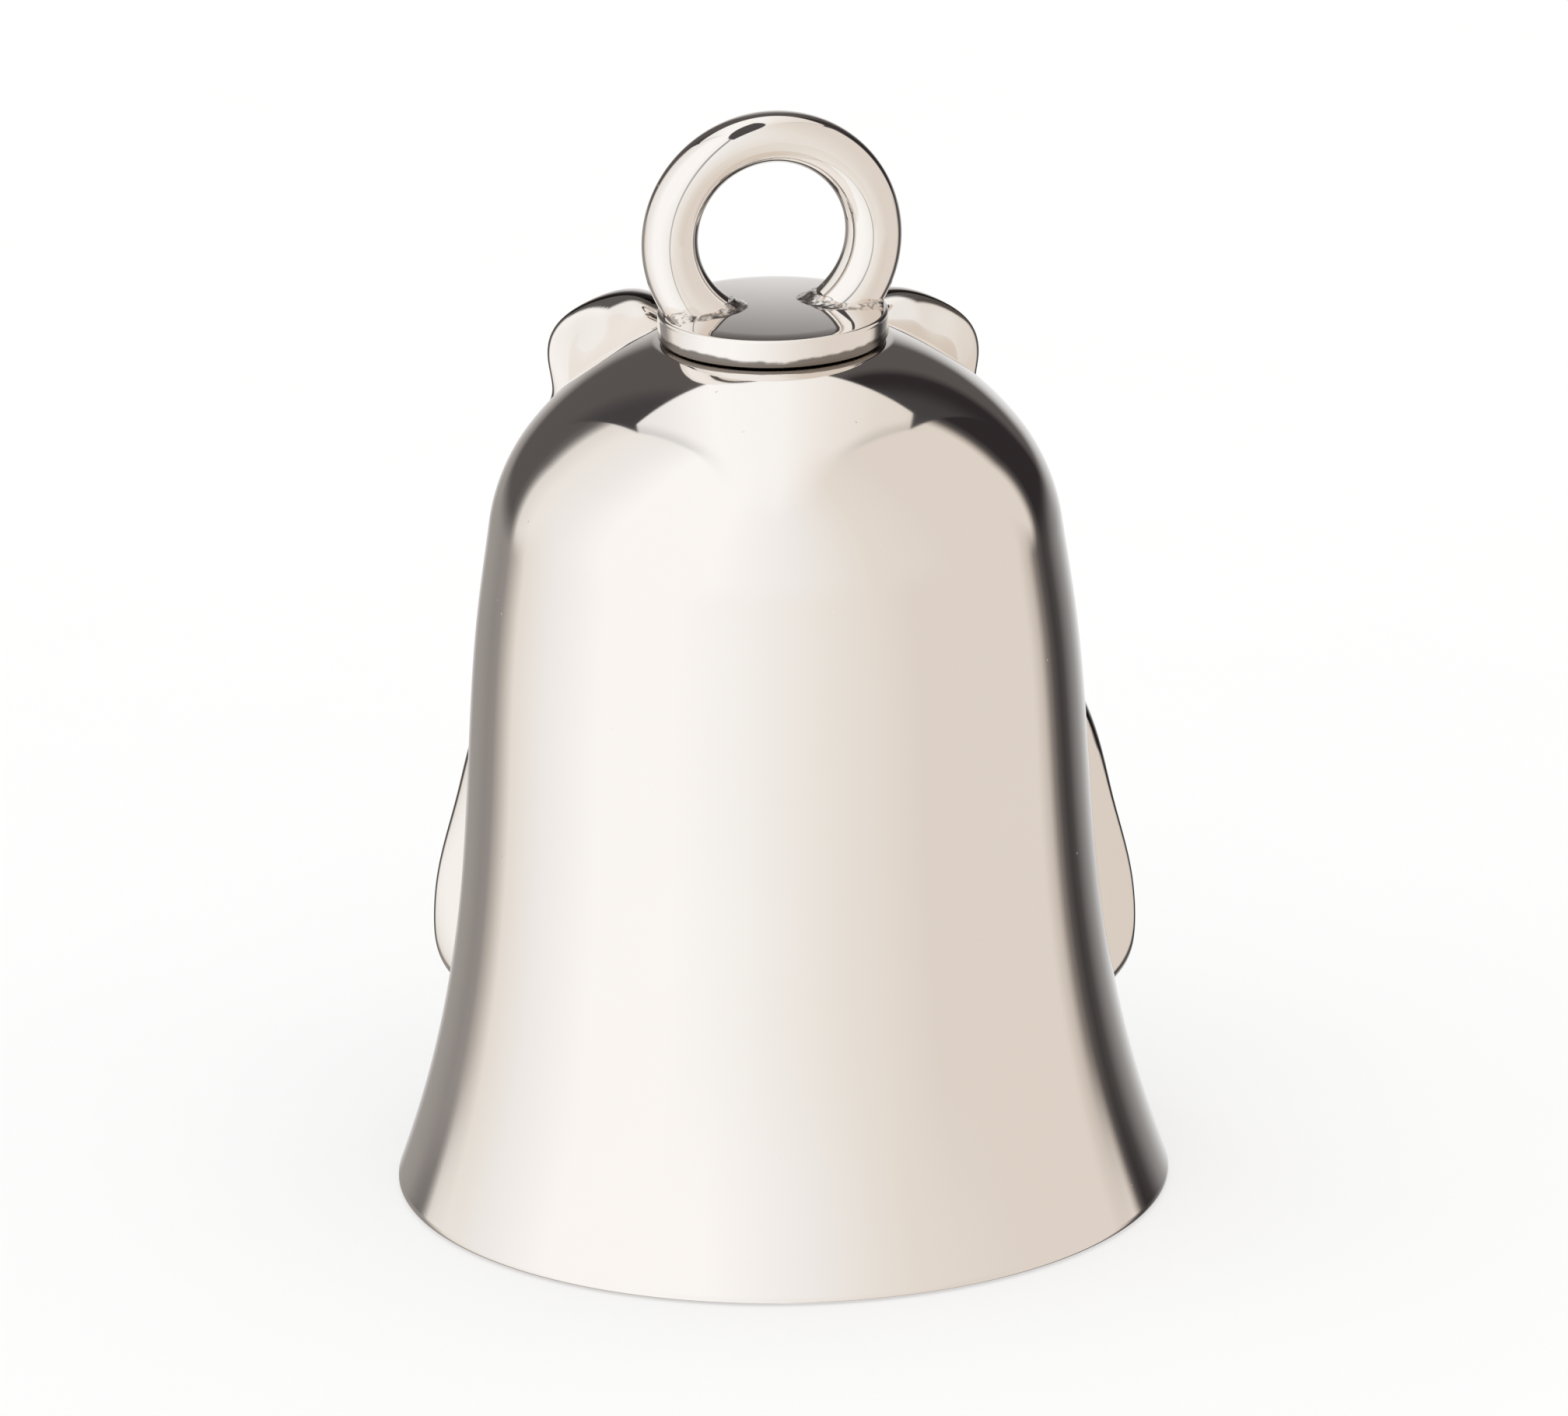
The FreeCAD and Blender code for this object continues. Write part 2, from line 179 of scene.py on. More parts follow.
# --- Mesh building ---
def new_object(name, data):
    made = bpy.data.objects.new(name, data)
    bpy.context.scene.collection.objects.link(made)
    return made


class Skin:
    """Collects vertices (in millimetres) and faces of closed parts, then becomes one object."""

    def __init__(self):
        self.points = []
        self.faces = []
        self.values = {}

    def add(self, points, faces, **values):
        """Add one closed part, turned right side out, with values painted on its points."""
        start = sum(len(p) for p in self.points)
        self.points.append(np.asarray(points, float))
        self.faces += [tuple(start + i for i in face) for face in outward(points, faces)]
        for name, value in values.items():
            self.values.setdefault(name, {})[start] = value

    def build(self, name, body, slot, material, replaced=(), sharp=35.0):
        points = np.vstack(self.points) * MM
        mesh = bpy.data.meshes.new(name)
        mesh.from_pydata(points.tolist(), [], self.faces)
        mesh.validate()
        for key, chunks in self.values.items():
            attribute = mesh.attributes.new(key, "FLOAT", "POINT")
            filled = np.zeros(len(points), np.float32)
            for start, value in chunks.items():
                filled[start:start + len(value)] = value
            attribute.data.foreach_set("value", filled)
        mesh.shade_smooth()
        mesh.set_sharp_from_angle(angle=math.radians(sharp))
        mesh.materials.append(material)
        obj = new_object(name, mesh)
        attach(obj, body)
        if replaced:
            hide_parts(*replaced)
        return obj


def closed_part(points, faces):
    """A skin of one closed part."""
    skin = Skin()
    skin.add(points, faces)
    return skin


def grid_faces(rows, columns, close_rows=False, close_columns=False):
    """Quads of a rows x columns grid of points, wrapped round where asked."""
    faces = []
    for i in range(rows if close_rows else rows - 1):
        a, b = i * columns, ((i + 1) % rows) * columns
        for j in range(columns if close_columns else columns - 1):
            k = (j + 1) % columns
            faces.append((a + j, a + k, b + k, b + j))
    return faces


def lathe(profile, segments, closed=True):
    """Points and faces turned about Z from (radius, height) points. An open profile ends on the axis."""
    profile = np.asarray(profile, float)
    angles = np.linspace(0, 2 * math.pi, segments, endpoint=False)
    ring = profile if closed else profile[1:-1]
    points = np.stack([np.outer(ring[:, 0], np.cos(angles)), np.outer(ring[:, 0], np.sin(angles)),
                       np.repeat(ring[:, 1:], segments, 1)], 2).reshape(-1, 3)
    faces = grid_faces(len(ring), segments, close_rows=closed, close_columns=True)
    if not closed:
        poles = [(0, 0, profile[0, 1]), (0, 0, profile[-1, 1])]
        first, last = len(points), len(points) + 1
        tail = (len(ring) - 1) * segments
        points = np.vstack([points, poles])
        for j in range(segments):
            k = (j + 1) % segments
            faces.append((first, k, j))
            faces.append((last, tail + j, tail + k))
    return points, faces


def tube(path, radii, segments, closed=False, side=(0, 1, 0)):
    """A round tube along a path. side is a direction that is never along the path."""
    path = np.asarray(path, float)
    radii = np.broadcast_to(radii, len(path))
    if closed:
        along = np.roll(path, -1, 0) - np.roll(path, 1, 0)
    else:
        along = np.gradient(path, axis=0)
    along /= np.linalg.norm(along, axis=1)[:, None]
    across = np.cross(along, side)
    across /= np.linalg.norm(across, axis=1)[:, None]
    other = np.cross(across, along)
    angles = np.linspace(0, 2 * math.pi, segments, endpoint=False)
    points = (path[:, None] + radii[:, None, None] * (np.cos(angles)[None, :, None] * across[:, None]
                                                      + np.sin(angles)[None, :, None] * other[:, None]))
    points = points.reshape(-1, 3)
    faces = grid_faces(len(path), segments, close_rows=closed, close_columns=True)
    if not closed:
        first, last = len(points), len(points) + 1
        tail = (len(path) - 1) * segments
        points = np.vstack([points, path[:1], path[-1:]])
        for j in range(segments):
            k = (j + 1) % segments
            faces.append((first, k, j))
            faces.append((last, tail + j, tail + k))
    return points, faces


def turned_about(points, axis, degrees, pivot=(0, 0, 0)):
    rotation = np.array(Matrix.Rotation(math.radians(degrees), 3, Vector(axis)))
    return (np.asarray(points) - pivot) @ rotation.T + pivot


def outward(points, faces):
    """The same faces, turned over if the closed part they make is inside out."""
    volume = 0.0
    for face in faces:
        a = points[face[0]]
        for i in range(1, len(face) - 1):
            volume += np.dot(a, np.cross(points[face[i]], points[face[i + 1]]))
    return faces if volume > 0 else [tuple(reversed(face)) for face in faces]


# --- Node helpers ---
def node(tree, kind, inputs=None, **settings):
    """A shader node of a kind, with its inputs linked or set."""
    made = tree.nodes.new("ShaderNode" + kind)
    for key, value in settings.items():
        setattr(made, key, value)
    for key, value in (inputs or {}).items():
        if isinstance(value, bpy.types.NodeSocket):
            tree.links.new(value, made.inputs[key])
        else:
            made.inputs[key].default_value = value
    return made


def calc(tree, operation, a, b=0.0, c=0.0):
    return node(tree, "Math", {0: a, 1: b, 2: c}, operation=operation).outputs[0]


def times(tree, a, b):
    return calc(tree, "MULTIPLY", a, b)


def plus(tree, a, b):
    return calc(tree, "ADD", a, b)


def minus(tree, a, b):
    return calc(tree, "SUBTRACT", a, b)


def xyz(tree, vector):
    """The three parts of a vector."""
    return node(tree, "SeparateXYZ", {0: vector}).outputs


def painted(tree, name):
    """A value painted on the mesh's points."""
    return node(tree, "Attribute", attribute_name=name).outputs["Fac"]


def direction_angles(tree, right, ahead, up):
    """Azimuth to the right of ahead, and elevation, of a direction, in degrees."""
    azimuth = times(tree, calc(tree, "ARCTAN2", right, ahead), 180 / math.pi)
    elevation = times(tree, calc(tree, "ARCSINE", up), 180 / math.pi)
    return azimuth, elevation


def step(tree, value, low, high, out_low=0.0, out_high=1.0):
    """A smooth step of value between two limits."""
    inputs = {"Value": value, "From Min": low, "From Max": high, "To Min": out_low, "To Max": out_high}
    return node(tree, "MapRange", inputs, interpolation_type="SMOOTHSTEP").outputs[0]


def mix(tree, factor, a, b, blend="MIX"):
    made = node(tree, "Mix", data_type="RGBA", blend_type=blend)
    for index, value in ((0, factor), (6, a), (7, b)):
        if isinstance(value, bpy.types.NodeSocket):
            tree.links.new(value, made.inputs[index])
        else:
            made.inputs[index].default_value = (*value, 1) if index else value
    return made.outputs[2]


def noise_at(tree, place, scale, detail=2.0, rough=0.5, stretch=(1, 1, 1)):
    """Noise in object space; scale is in repeats per metre."""
    mapped = node(tree, "Mapping", {"Vector": place, "Scale": stretch})
    inputs = {"Vector": mapped.outputs[0], "Scale": scale, "Detail": detail, "Roughness": rough}
    return node(tree, "TexNoise", inputs).outputs["Fac"]


def specks(tree, place, scale, size):
    """Sparse round dots: 1 at a dot, 0 elsewhere."""
    cells = node(tree, "TexVoronoi", {"Vector": place, "Scale": scale, "Randomness": 1.0})
    near = step(tree, cells.outputs["Distance"], size, size * 0.5)
    chosen = step(tree, node(tree, "SeparateColor", {0: cells.outputs["Color"]}).outputs[0],
                  0.72, 0.74)
    return times(tree, near, chosen)


def new_material(name):
    material = bpy.data.materials.new(name)
    material.use_nodes = True
    tree = material.node_tree
    tree.nodes.clear()
    place = node(tree, "TexCoord").outputs["Object"]
    return material, tree, place


def finish_material(tree, color, roughness, height, bump=1.0, metallic=1.0):
    """A metal with the given colour and roughness, and height (in metres) as its bump."""
    bumped = node(tree, "Bump", {"Height": height, "Distance": 1.0, "Strength": bump})
    shader = node(tree, "BsdfPrincipled", {"Base Color": color, "Roughness": roughness,
                                                     "Metallic": metallic, "Normal": bumped.outputs[0]})
    node(tree, "OutputMaterial", {"Surface": shader.outputs[0]})


# --- Materials ---
NICKEL = (0.90, 0.868, 0.838)
NICKEL_WARM = (0.885, 0.845, 0.805)
CAST_NICKEL = (0.84, 0.795, 0.755)
# A dark brown for painted shade and grime in hollows, grooves and joints.
SHADE_AND_GRIME = (0.16, 0.135, 0.115)
RIM_SHADE = (0.065, 0.058, 0.055)
COPPER = (0.80, 0.52, 0.36)
BRASS = (0.78, 0.60, 0.34)


def painted_sheet_reflection(tree, color):
    """Paint a reflection into a colour by the mirrored ray's direction: beige where a beige sheet would be
    seen, dark where a gap between sheets would be seen.
    """
    seen = node(tree, "NewGeometry").outputs["Incoming"]
    mirrored = node(tree, "TexCoord").outputs["Reflection"]
    view, ray = xyz(tree, seen), xyz(tree, mirrored)
    ahead = plus(tree, times(tree, ray[0], view[0]), times(tree, ray[1], view[1]))
    right = minus(tree, times(tree, ray[1], view[0]), times(tree, ray[0], view[1]))
    azimuth, elevation = direction_angles(tree, right, ahead, ray[2])
    beside = calc(tree, "ABSOLUTE", azimuth)
    # Painted reflection: under the camera a white sheet and a beige one meet, and the beige is painted in.
    under = times(tree, step(tree, elevation, -14.3, -15.5), step(tree, beside, 75, 45))
    under = times(tree, under, step(tree, azimuth, -1.0, 0.5))
    color = mix(tree, times(tree, under, 0.8), color, BEIGE)
    # Painted reflection: the dark gap where they meet runs up between the sheets beside the camera.
    width = step(tree, elevation, -34, -14, 0.9, 3.4)
    middle = plus(tree, azimuth, step(tree, elevation, -18, 30, 0.0, 6.0))
    off = calc(tree, "ABSOLUTE", middle)
    fold = times(tree, step(tree, off, width, times(tree, width, 0.4)),
                step(tree, elevation, -18, 40, 0.45, 0.66))
    # Above the camera the painted dark gap widens to a wedge.
    half = times(tree, minus(tree, elevation, 42.0), 1.15)
    wedge = step(tree, minus(tree, half, beside), -1.0, 2.5, 0.0, 0.95)
    return mix(tree, calc(tree, "MAXIMUM", fold, wedge), color, BLACK)


def polished_nickel(name="polished_nickel", with_painted_reflection=False):
    """Mirror nickel: faint waves from buffing, hairlines, a few pits and a drifting tint."""
    material, tree, place = new_material(name)
    drift = noise_at(tree, place, 90, detail=3)
    color = mix(tree, drift, NICKEL, NICKEL_WARM)
    pits = specks(tree, place, 1100, 0.05)
    color = mix(tree, times(tree, pits, 0.5), color, (0.95, 0.95, 0.96))
    # Painted shade and grime where the recess value is set, which is the band round the collar's foot.
    recess = painted(tree, "recess")
    color = mix(tree, times(tree, recess, 0.9), color, SHADE_AND_GRIME)
    # For the loop: a painted reflection of the studio's sheets and dark gaps.
    if with_painted_reflection:
        color = painted_sheet_reflection(tree, color)
    hair = noise_at(tree, place, 9000, detail=2, stretch=(1, 1, 0.03))
    haze = noise_at(tree, place, 260, detail=4)
    roughness = step(tree, haze, 0.35, 0.75, 0.035, 0.075)
    roughness = plus(tree, roughness, times(tree, pits, 0.25))
    roughness = plus(tree, roughness, times(tree, recess, 0.12))
    waves = times(tree, noise_at(tree, place, 130, detail=1), 9e-6)
    fine = times(tree, hair, 2.0e-8)
    height = plus(tree, waves, fine)
    height = minus(tree, height, times(tree, pits, 6e-6))
    finish_material(tree, color, roughness, height)
    return material


def relief_nickel():
    """Cast nickel: bright on the raised veins; rougher in the hollows, with painted shade and grime there,
    and painted shade along the wings' back edges.
    """
    material, tree, place = new_material("relief_nickel")
    recess = painted(tree, "recess")
    blotch = noise_at(tree, place, 900, detail=4)
    # Painted shade and grime in the hollows, stronger in blotches; the hollows are rougher too.
    grime_and_shade = times(tree, recess, step(tree, blotch, 0.2, 0.7, 0.55, 1.0))
    drift = noise_at(tree, place, 90, detail=3)
    color = mix(tree, drift, CAST_NICKEL, NICKEL_WARM)
    color = mix(tree, times(tree, grime_and_shade, 0.8), color, SHADE_AND_GRIME)
    # Painted shade: a dark band along the wings' back edges.
    rim = painted(tree, "dark_rim")
    color = mix(tree, times(tree, rim, 0.96), color, RIM_SHADE)
    grain = noise_at(tree, place, 9000, detail=3)
    roughness = plus(tree, 0.045, times(tree, grime_and_shade, 0.33))
    waves = times(tree, noise_at(tree, place, 260, detail=1), 6e-6)
    sand = times(tree, times(tree, grain, recess), 1.2e-5)
    finish_material(tree, color, roughness, plus(tree, waves, sand))
    return material


def solder_joint():
    """Plated solder: bright and a little lumpy, with copper showing through in places."""
    material, tree, place = new_material("solder_joint")
    inputs = {"Vector": place, "Scale": 7000, "Randomness": 1.0}
    cells = node(tree, "TexVoronoi", inputs, feature="SMOOTH_F1")
    beads = step(tree, cells.outputs["Distance"], 0.0, 0.7, 1.0, 0.0)
    tone = noise_at(tree, place, 2500, detail=3)
    color = mix(tree, step(tree, tone, 0.5, 0.75, 0.0, 0.5), NICKEL, COPPER)
    # Painted shade and grime between the beads.
    color = mix(tree, step(tree, beads, 0.45, 0.1, 0.0, 0.6), color, SHADE_AND_GRIME)
    roughness = step(tree, tone, 0.3, 0.7, 0.10, 0.28)
    height = times(tree, beads, 4e-6)
    finish_material(tree, color, roughness, height)
    return material


def inner_hardware():
    """Satin plated steel with turning marks and a little tarnish."""
    material, tree, place = new_material("inner_hardware")
    streak = noise_at(tree, place, 5200, detail=3, stretch=(1, 1, 0.08))
    stain = noise_at(tree, place, 700, detail=5, rough=0.6)
    color = mix(tree, streak, (0.66, 0.65, 0.64), (0.54, 0.53, 0.52))
    color = mix(tree, step(tree, stain, 0.55, 0.8, 0.0, 0.5), color, (0.30, 0.26, 0.22))
    roughness = step(tree, streak, 0.2, 0.8, 0.20, 0.36)
    height = times(tree, streak, 3e-6)
    finish_material(tree, color, roughness, height)
    return material


def clapper_metal(ball_z, strike_r):
    """Nickel-plated brass, worn through to the brass round the middle of the ball."""
    material, tree, place = new_material("clapper_metal")
    x, y, z = xyz(tree, place)
    away = calc(tree, "ABSOLUTE", minus(tree, z, ball_z * MM))
    band = step(tree, away, 0.9 * MM, 0.25 * MM)
    across = calc(tree, "SQRT", plus(tree, calc(tree, "POWER", x, 2.0), calc(tree, "POWER", y, 2.0)))
    band = times(tree, band, step(tree, across, strike_r * 0.9 * MM, strike_r * 0.97 * MM))
    patches = step(tree, noise_at(tree, place, 1500, detail=4), 0.42, 0.58)
    worn = times(tree, band, patches)
    drift = noise_at(tree, place, 500, detail=3)
    color = mix(tree, drift, (0.78, 0.76, 0.72), (0.68, 0.66, 0.62))
    color = mix(tree, worn, color, BRASS)
    scratches = noise_at(tree, place, 7000, detail=2, stretch=(1, 0.15, 1))
    roughness = plus(tree, step(tree, drift, 0.3, 0.7, 0.12, 0.24), times(tree, worn, 0.12))
    height = times(tree, scratches, plus(tree, 1e-6, times(tree, worn, 5e-6)))
    finish_material(tree, color, roughness, height)
    return material


# --- The bell's shell ---
def outer_wall():
    """The outside from the rim to the collar's seat, as (radius, height)."""
    wall = spline(WALL_POINTS, 150, start=leaning(RIM_SLOPE), end=leaning(WALL_TOP_SLOPE))
    toward = np.array([math.cos(math.radians(WALL_TOP_SLOPE)), math.sin(math.radians(WALL_TOP_SLOPE))])
    centre = np.array(WALL_POINTS[-1]) - SHOULDER_R * toward
    shoulder = arc(centre, SHOULDER_R, WALL_TOP_SLOPE, CROWN_SLOPE, 40)
    slope = np.array([math.cos(math.radians(CROWN_SLOPE)), math.sin(math.radians(CROWN_SLOPE))])
    crown_centre = shoulder[-1] - CROWN_R * slope
    top = math.degrees(math.asin((SEAT_Z - crown_centre[1]) / CROWN_R))
    crown = arc(crown_centre, CROWN_R, CROWN_SLOPE, top, 46)
    return np.vstack([wall, shoulder[1:], crown[1:]])


def inner_wall(outer):
    """The outside moved in by the wall's thickness, from the washer's seat down to the rim."""
    along = np.gradient(outer, axis=0)
    along /= np.linalg.norm(along, axis=1)[:, None]
    moved = outer + WALL * np.stack([-along[:, 1], along[:, 0]], 1)
    kept = moved[(moved[:, 1] > 0) & (moved[:, 1] < INNER_SEAT_Z)]
    foot = np.array([np.interp(0.0, moved[:8, 1], moved[:8, 0]), 0.0])
    top = np.array([np.interp(INNER_SEAT_Z, moved[:, 1], moved[:, 0]), INNER_SEAT_Z])
    return np.vstack([foot, kept, top])[::-1]


def rounded_corner(before, corner, after, radius, count=7):
    """Points of a small rounding at a corner between two directions."""
    corner = np.array(corner)
    a = (before - corner) / np.linalg.norm(before - corner)
    b = (after - corner) / np.linalg.norm(after - corner)
    half = math.acos(np.clip(a @ b, -1, 1)) / 2
    reach = radius / math.tan(half)
    start, end = corner + a * reach, corner + b * reach
    t = np.linspace(0, 1, count)[:, None]
    middle = corner * 2 * (1 - t) * t + start * (1 - t) ** 2 + end * t ** 2
    return middle


def bell_shell(material):
    outer = outer_wall()
    inner = inner_wall(outer)
    rim_out = rounded_corner(inner[-1], outer[0], outer[3], RIM_EDGE)
    rim_in = rounded_corner(inner[-4], inner[-1], outer[0], RIM_EDGE)
    outer = outer[outer[:, 1] > rim_out[-1][1] + 0.02]
    inner = inner[inner[:, 1] > rim_in[0][1] + 0.02]
    hole = [(HOLE_R + 0.1, SEAT_Z), (HOLE_R, SEAT_Z - 0.1), (HOLE_R, INNER_SEAT_Z + 0.1),
            (HOLE_R + 0.1, INNER_SEAT_Z)]
    profile = np.vstack([rim_out, outer, hole, inner, rim_in])
    points, faces = lathe(profile, 240)
    skin = closed_part(points, faces)
    return skin.build("bell_shell_polished", "bell", "polished_nickel", material, ["bell_shell"])


# --- Collar, loop and solder ---
def dome_z(radius):
    """Height of the collar's domed top at a distance from the axis."""
    sphere_r = (COLLAR_DOME_R ** 2 + COLLAR_DOME ** 2) / (2 * COLLAR_DOME)
    drop = sphere_r - np.sqrt(sphere_r ** 2 - np.minimum(radius, COLLAR_DOME_R) ** 2)
    return COLLAR_TOP_Z + COLLAR_DOME - drop


def collar(material):
    """The collar with its stud; the threads show between the washer and the nut."""
    dome = [(r, float(dome_z(r))) for r in np.linspace(0, COLLAR_DOME_R, 22)]
    top, low = np.array((COLLAR_R, COLLAR_TOP_Z)), np.array((COLLAR_R, COLLAR_Z))
    edge = rounded_corner(np.array(dome[-3]), top - (0, 0.06), low, COLLAR_TOP_BEVEL)
    foot = rounded_corner(top, low, np.array((0, COLLAR_Z)), COLLAR_FOOT_ROUNDING)
    heights = np.linspace(edge[-1][1], foot[0][1], 26)[1:-1]
    across = 2 * (heights - (COLLAR_Z + COLLAR_TOP_Z) / 2) / (COLLAR_TOP_Z - COLLAR_Z)
    band = np.stack([COLLAR_R - COLLAR_BULGE * across ** 2, heights], 1)
    shoulder_z = INNER_SEAT_Z - 0.05
    stud = [(STUD_R, COLLAR_Z), (STUD_R, shoulder_z + 0.08), (STUD_R - 0.08, shoulder_z),
            (THREAD_R, shoulder_z), (THREAD_R, THREAD_END_Z + 0.1), (THREAD_R - 0.1, THREAD_END_Z),
            (0, THREAD_END_Z)]
    profile = np.vstack([dome[:-1], edge, band, foot, stud])
    points, faces = lathe(profile, 256, closed=False)
    x, y, z = points.T
    # Painted shade and grime in a band round the collar's foot, wider at its left and right, with a wavy top.
    waves = np.array([noise.fractal((a * 0.9, b * 0.9, 3.0), 0.6, 2.1, 4) for a, b in zip(x, y)])
    dark_band_top = 0.28 + 0.14 * np.abs(x) / COLLAR_R + 0.07 * waves
    recess = (1 - smooth(z - COLLAR_Z, dark_band_top - 0.05, dark_band_top + 0.05)) * (np.hypot(x, y) > COLLAR_R - 0.6)
    skin = Skin()
    skin.add(points, faces, recess=recess)
    return skin.build("collar_and_stud", "hanger", "polished_nickel", material, ["collar_stud"])


def loop_path(angles):
    """The loop's centre line, before it is turned by its yaw. Angles are counted from its top."""
    centre_z = LOOP_TOP_Z - LOOP_R
    return np.stack([LOOP_R * np.sin(angles), np.zeros_like(angles), centre_z + LOOP_R * np.cos(angles)], 1)


def loop_wire_r(angles):
    return LOOP_TOP_WIRE_R + (LOOP_FOOT_WIRE_R - LOOP_TOP_WIRE_R) * (1 - np.cos(angles)) / 2


def loop(material):
    foot = math.radians(LOOP_FOOT_ANGLE)
    angles = np.linspace(-foot, foot, 260)
    points, faces = tube(loop_path(angles), loop_wire_r(angles), 72)
    points = turned_about(points, (0, 0, 1), LOOP_YAW)
    skin = closed_part(points, faces)
    return skin.build("hanger_loop_polished", "hanger", "polished_nickel", material, ["hanger_loop"])


def solder(material):
    """A low fillet round each foot of the loop, drawn as a disc that rises against the wire."""
    rings, spokes = 44, 120
    foot_z = COLLAR_TOP_Z + COLLAR_DOME / 2
    foot_angle = math.acos((foot_z - (LOOP_TOP_Z - LOOP_R)) / LOOP_R)
    foot_x = LOOP_R * math.sin(foot_angle)
    wire_r = float(loop_wire_r(foot_angle))
    reach = (wire_r / math.sin(foot_angle - math.pi / 2) * 0.98, wire_r)
    skin = Skin()
    for side in (-1, 1):
        rows = []
        for ring in np.linspace(0, 1, rings):
            angle = np.linspace(0, 2 * math.pi, spokes, endpoint=False)
            grown = np.array(reach) * 0.55 + ring * (np.array(reach) * 0.45 + SOLDER_WIDTH)
            x = side * foot_x + grown[0] * np.cos(angle)
            y = grown[1] * np.sin(angle)
            wire_edge = np.hypot(reach[0] * np.cos(angle), reach[1] * np.sin(angle))
            off = np.hypot(x - side * foot_x, y) - wire_edge
            lift = SOLDER_RISE * np.clip(1 - off / SOLDER_WIDTH, 0, 1.4) ** 2.2
            limit = COLLAR_R - 0.16
            far = np.hypot(x, y)
            shrink = np.minimum(1, limit / np.maximum(far, 1e-6))
            x, y = x * shrink, y * shrink
            lumps = np.array([noise.fractal((a * 3.1, b * 3.1, side * 4.0), 0.7, 2.2, 4)
                              for a, b in zip(x, y)])
            grain = np.array([noise.voronoi((a * 7.5, b * 7.5, side * 2.0))[0][0] for a, b in zip(x, y)])
            rough = smooth(lift, 0.0, 0.06)
            crust = SOLDER_LUMPS * lumps + SOLDER_BEADS * (0.45 - grain)
            z = dome_z(np.hypot(x, y)) - 0.02 + lift + rough * crust
            rows.append(np.stack([x, y, z], 1))
        top = np.vstack(rows)
        floor = np.array([side * foot_x, 0, COLLAR_TOP_Z - 0.2])
        roof = top[:spokes].mean(0)
        points = turned_about(np.vstack([top, [floor], [roof]]), (0, 0, 1), LOOP_YAW)
        faces = grid_faces(rings, spokes, close_columns=True)
        tail = (rings - 1) * spokes
        for j in range(spokes):
            k = (j + 1) % spokes
            faces.append((len(top), tail + k, tail + j))
            faces.append((len(top) + 1, j, k))
        skin.add(points, faces)
    return skin.build("loop_solder_crust", "hanger", "solder_joint", material, ["loop_solder"], sharp=60)


# --- Relief ---
class Face:
    """The curved front face of the wings: y at (x, z)."""

    def __init__(self):
        dense = spline(FACE_LEVELS, 240)
        self.z, self.front, self.behind = dense.T

    def depth(self, x, z):
        behind = np.interp(z, self.z, self.behind)
        radius = np.interp(z, self.z, self.front) + behind
        return np.sqrt(radius ** 2 - x ** 2) - behind


def wall_depth(wall, x, z):
    """y of the bell's outer wall at (x, z), or far behind where the wall does not reach."""
    order = np.argsort(wall[:, 1])
    radius = np.interp(z, wall[order, 1], wall[order, 0], right=0.0)
    return np.where(radius > x, np.sqrt(np.maximum(radius ** 2 - x ** 2, 0)), -50.0)


def distance_to(outline, x, z):
    """Distance of each point to a closed outline."""
    best = np.full(x.shape, np.inf)
    for (ax, az), (bx, bz) in zip(outline, np.roll(outline, -1, 0)):
        length2 = (bx - ax) ** 2 + (bz - az) ** 2
        t = np.clip(((x - ax) * (bx - ax) + (z - az) * (bz - az)) / length2, 0, 1)
        best = np.minimum(best, np.hypot(x - ax - t * (bx - ax), z - az - t * (bz - az)))
    return best


def vein_pattern(x, z, rim, root, rays, cell):
    """Depth of the sunk cells between veins: 0 on veins and on the rim, 1 on a cell's floor."""
    dx, dz = x - root[0], z - root[1]
    far = np.hypot(dx, dz)
    heading = np.degrees(np.arctan2(dz, dx))
    open_cell = smooth(rim, 0.85, 1.12)
    for ray in rays:
        bent = ray + 5 * np.sin(far * 0.45)
        off = np.abs(far * np.sin(np.radians(heading - bent)))
        ahead = np.abs(heading - bent) < 80
        line = np.where(ahead, smooth(off, 0.11, 0.30), 1.0)
        strong = smooth(far, 1.0, 2.0)
        open_cell = open_cell * (1 - strong * (1 - line))
    cross = np.abs(far - cell)
    open_cell = open_cell * smooth(cross, 0.11, 0.30)
    return open_cell * smooth(far, 0.9, 1.6)


def pearls(outline, x, z, spacing, inset, radius):
    """Height of a row of small beads just inside the outline."""
    closed = np.vstack([outline, outline[:1]])
    lengths = np.concatenate([[0], np.cumsum(np.linalg.norm(np.diff(closed, axis=0), axis=1))])
    count = int(lengths[-1] / spacing)
    middle = outline.mean(0)
    height = np.zeros_like(x)
    for place in np.linspace(0, lengths[-1], count, endpoint=False):
        p = np.array([np.interp(place, lengths, closed[:, k]) for k in (0, 1)])
        inward = (middle - p) / np.linalg.norm(middle - p)
        if p[0] < 1.6:
            continue
        p = p + inward * inset
        d2 = ((x - p[0]) ** 2 + (z - p[1]) ** 2) / radius ** 2
        height = np.maximum(height, np.sqrt(np.clip(1 - d2, 0, 1)))
    return height


def edge_rounding(rim, radius, power):
    """Share of the half thickness at a distance from the outline: 0 on it, 1 beyond the rounding."""
    return np.clip(1 - (1 - np.clip(rim / radius, 0, 1)) ** power, 0, 1) ** (1 / power)


def fluting(x, rim, strength, pitch=1.3, first=5.25):
    """Share of the back's depth left by upright flutes near the edge of a ruffled wing."""
    wave = (1 - np.cos(2 * math.pi * (x - first) / pitch)) / 2
    return 1 - strength * wave ** 0.7 * (1 - smooth(rim, 0.3, 1.7))


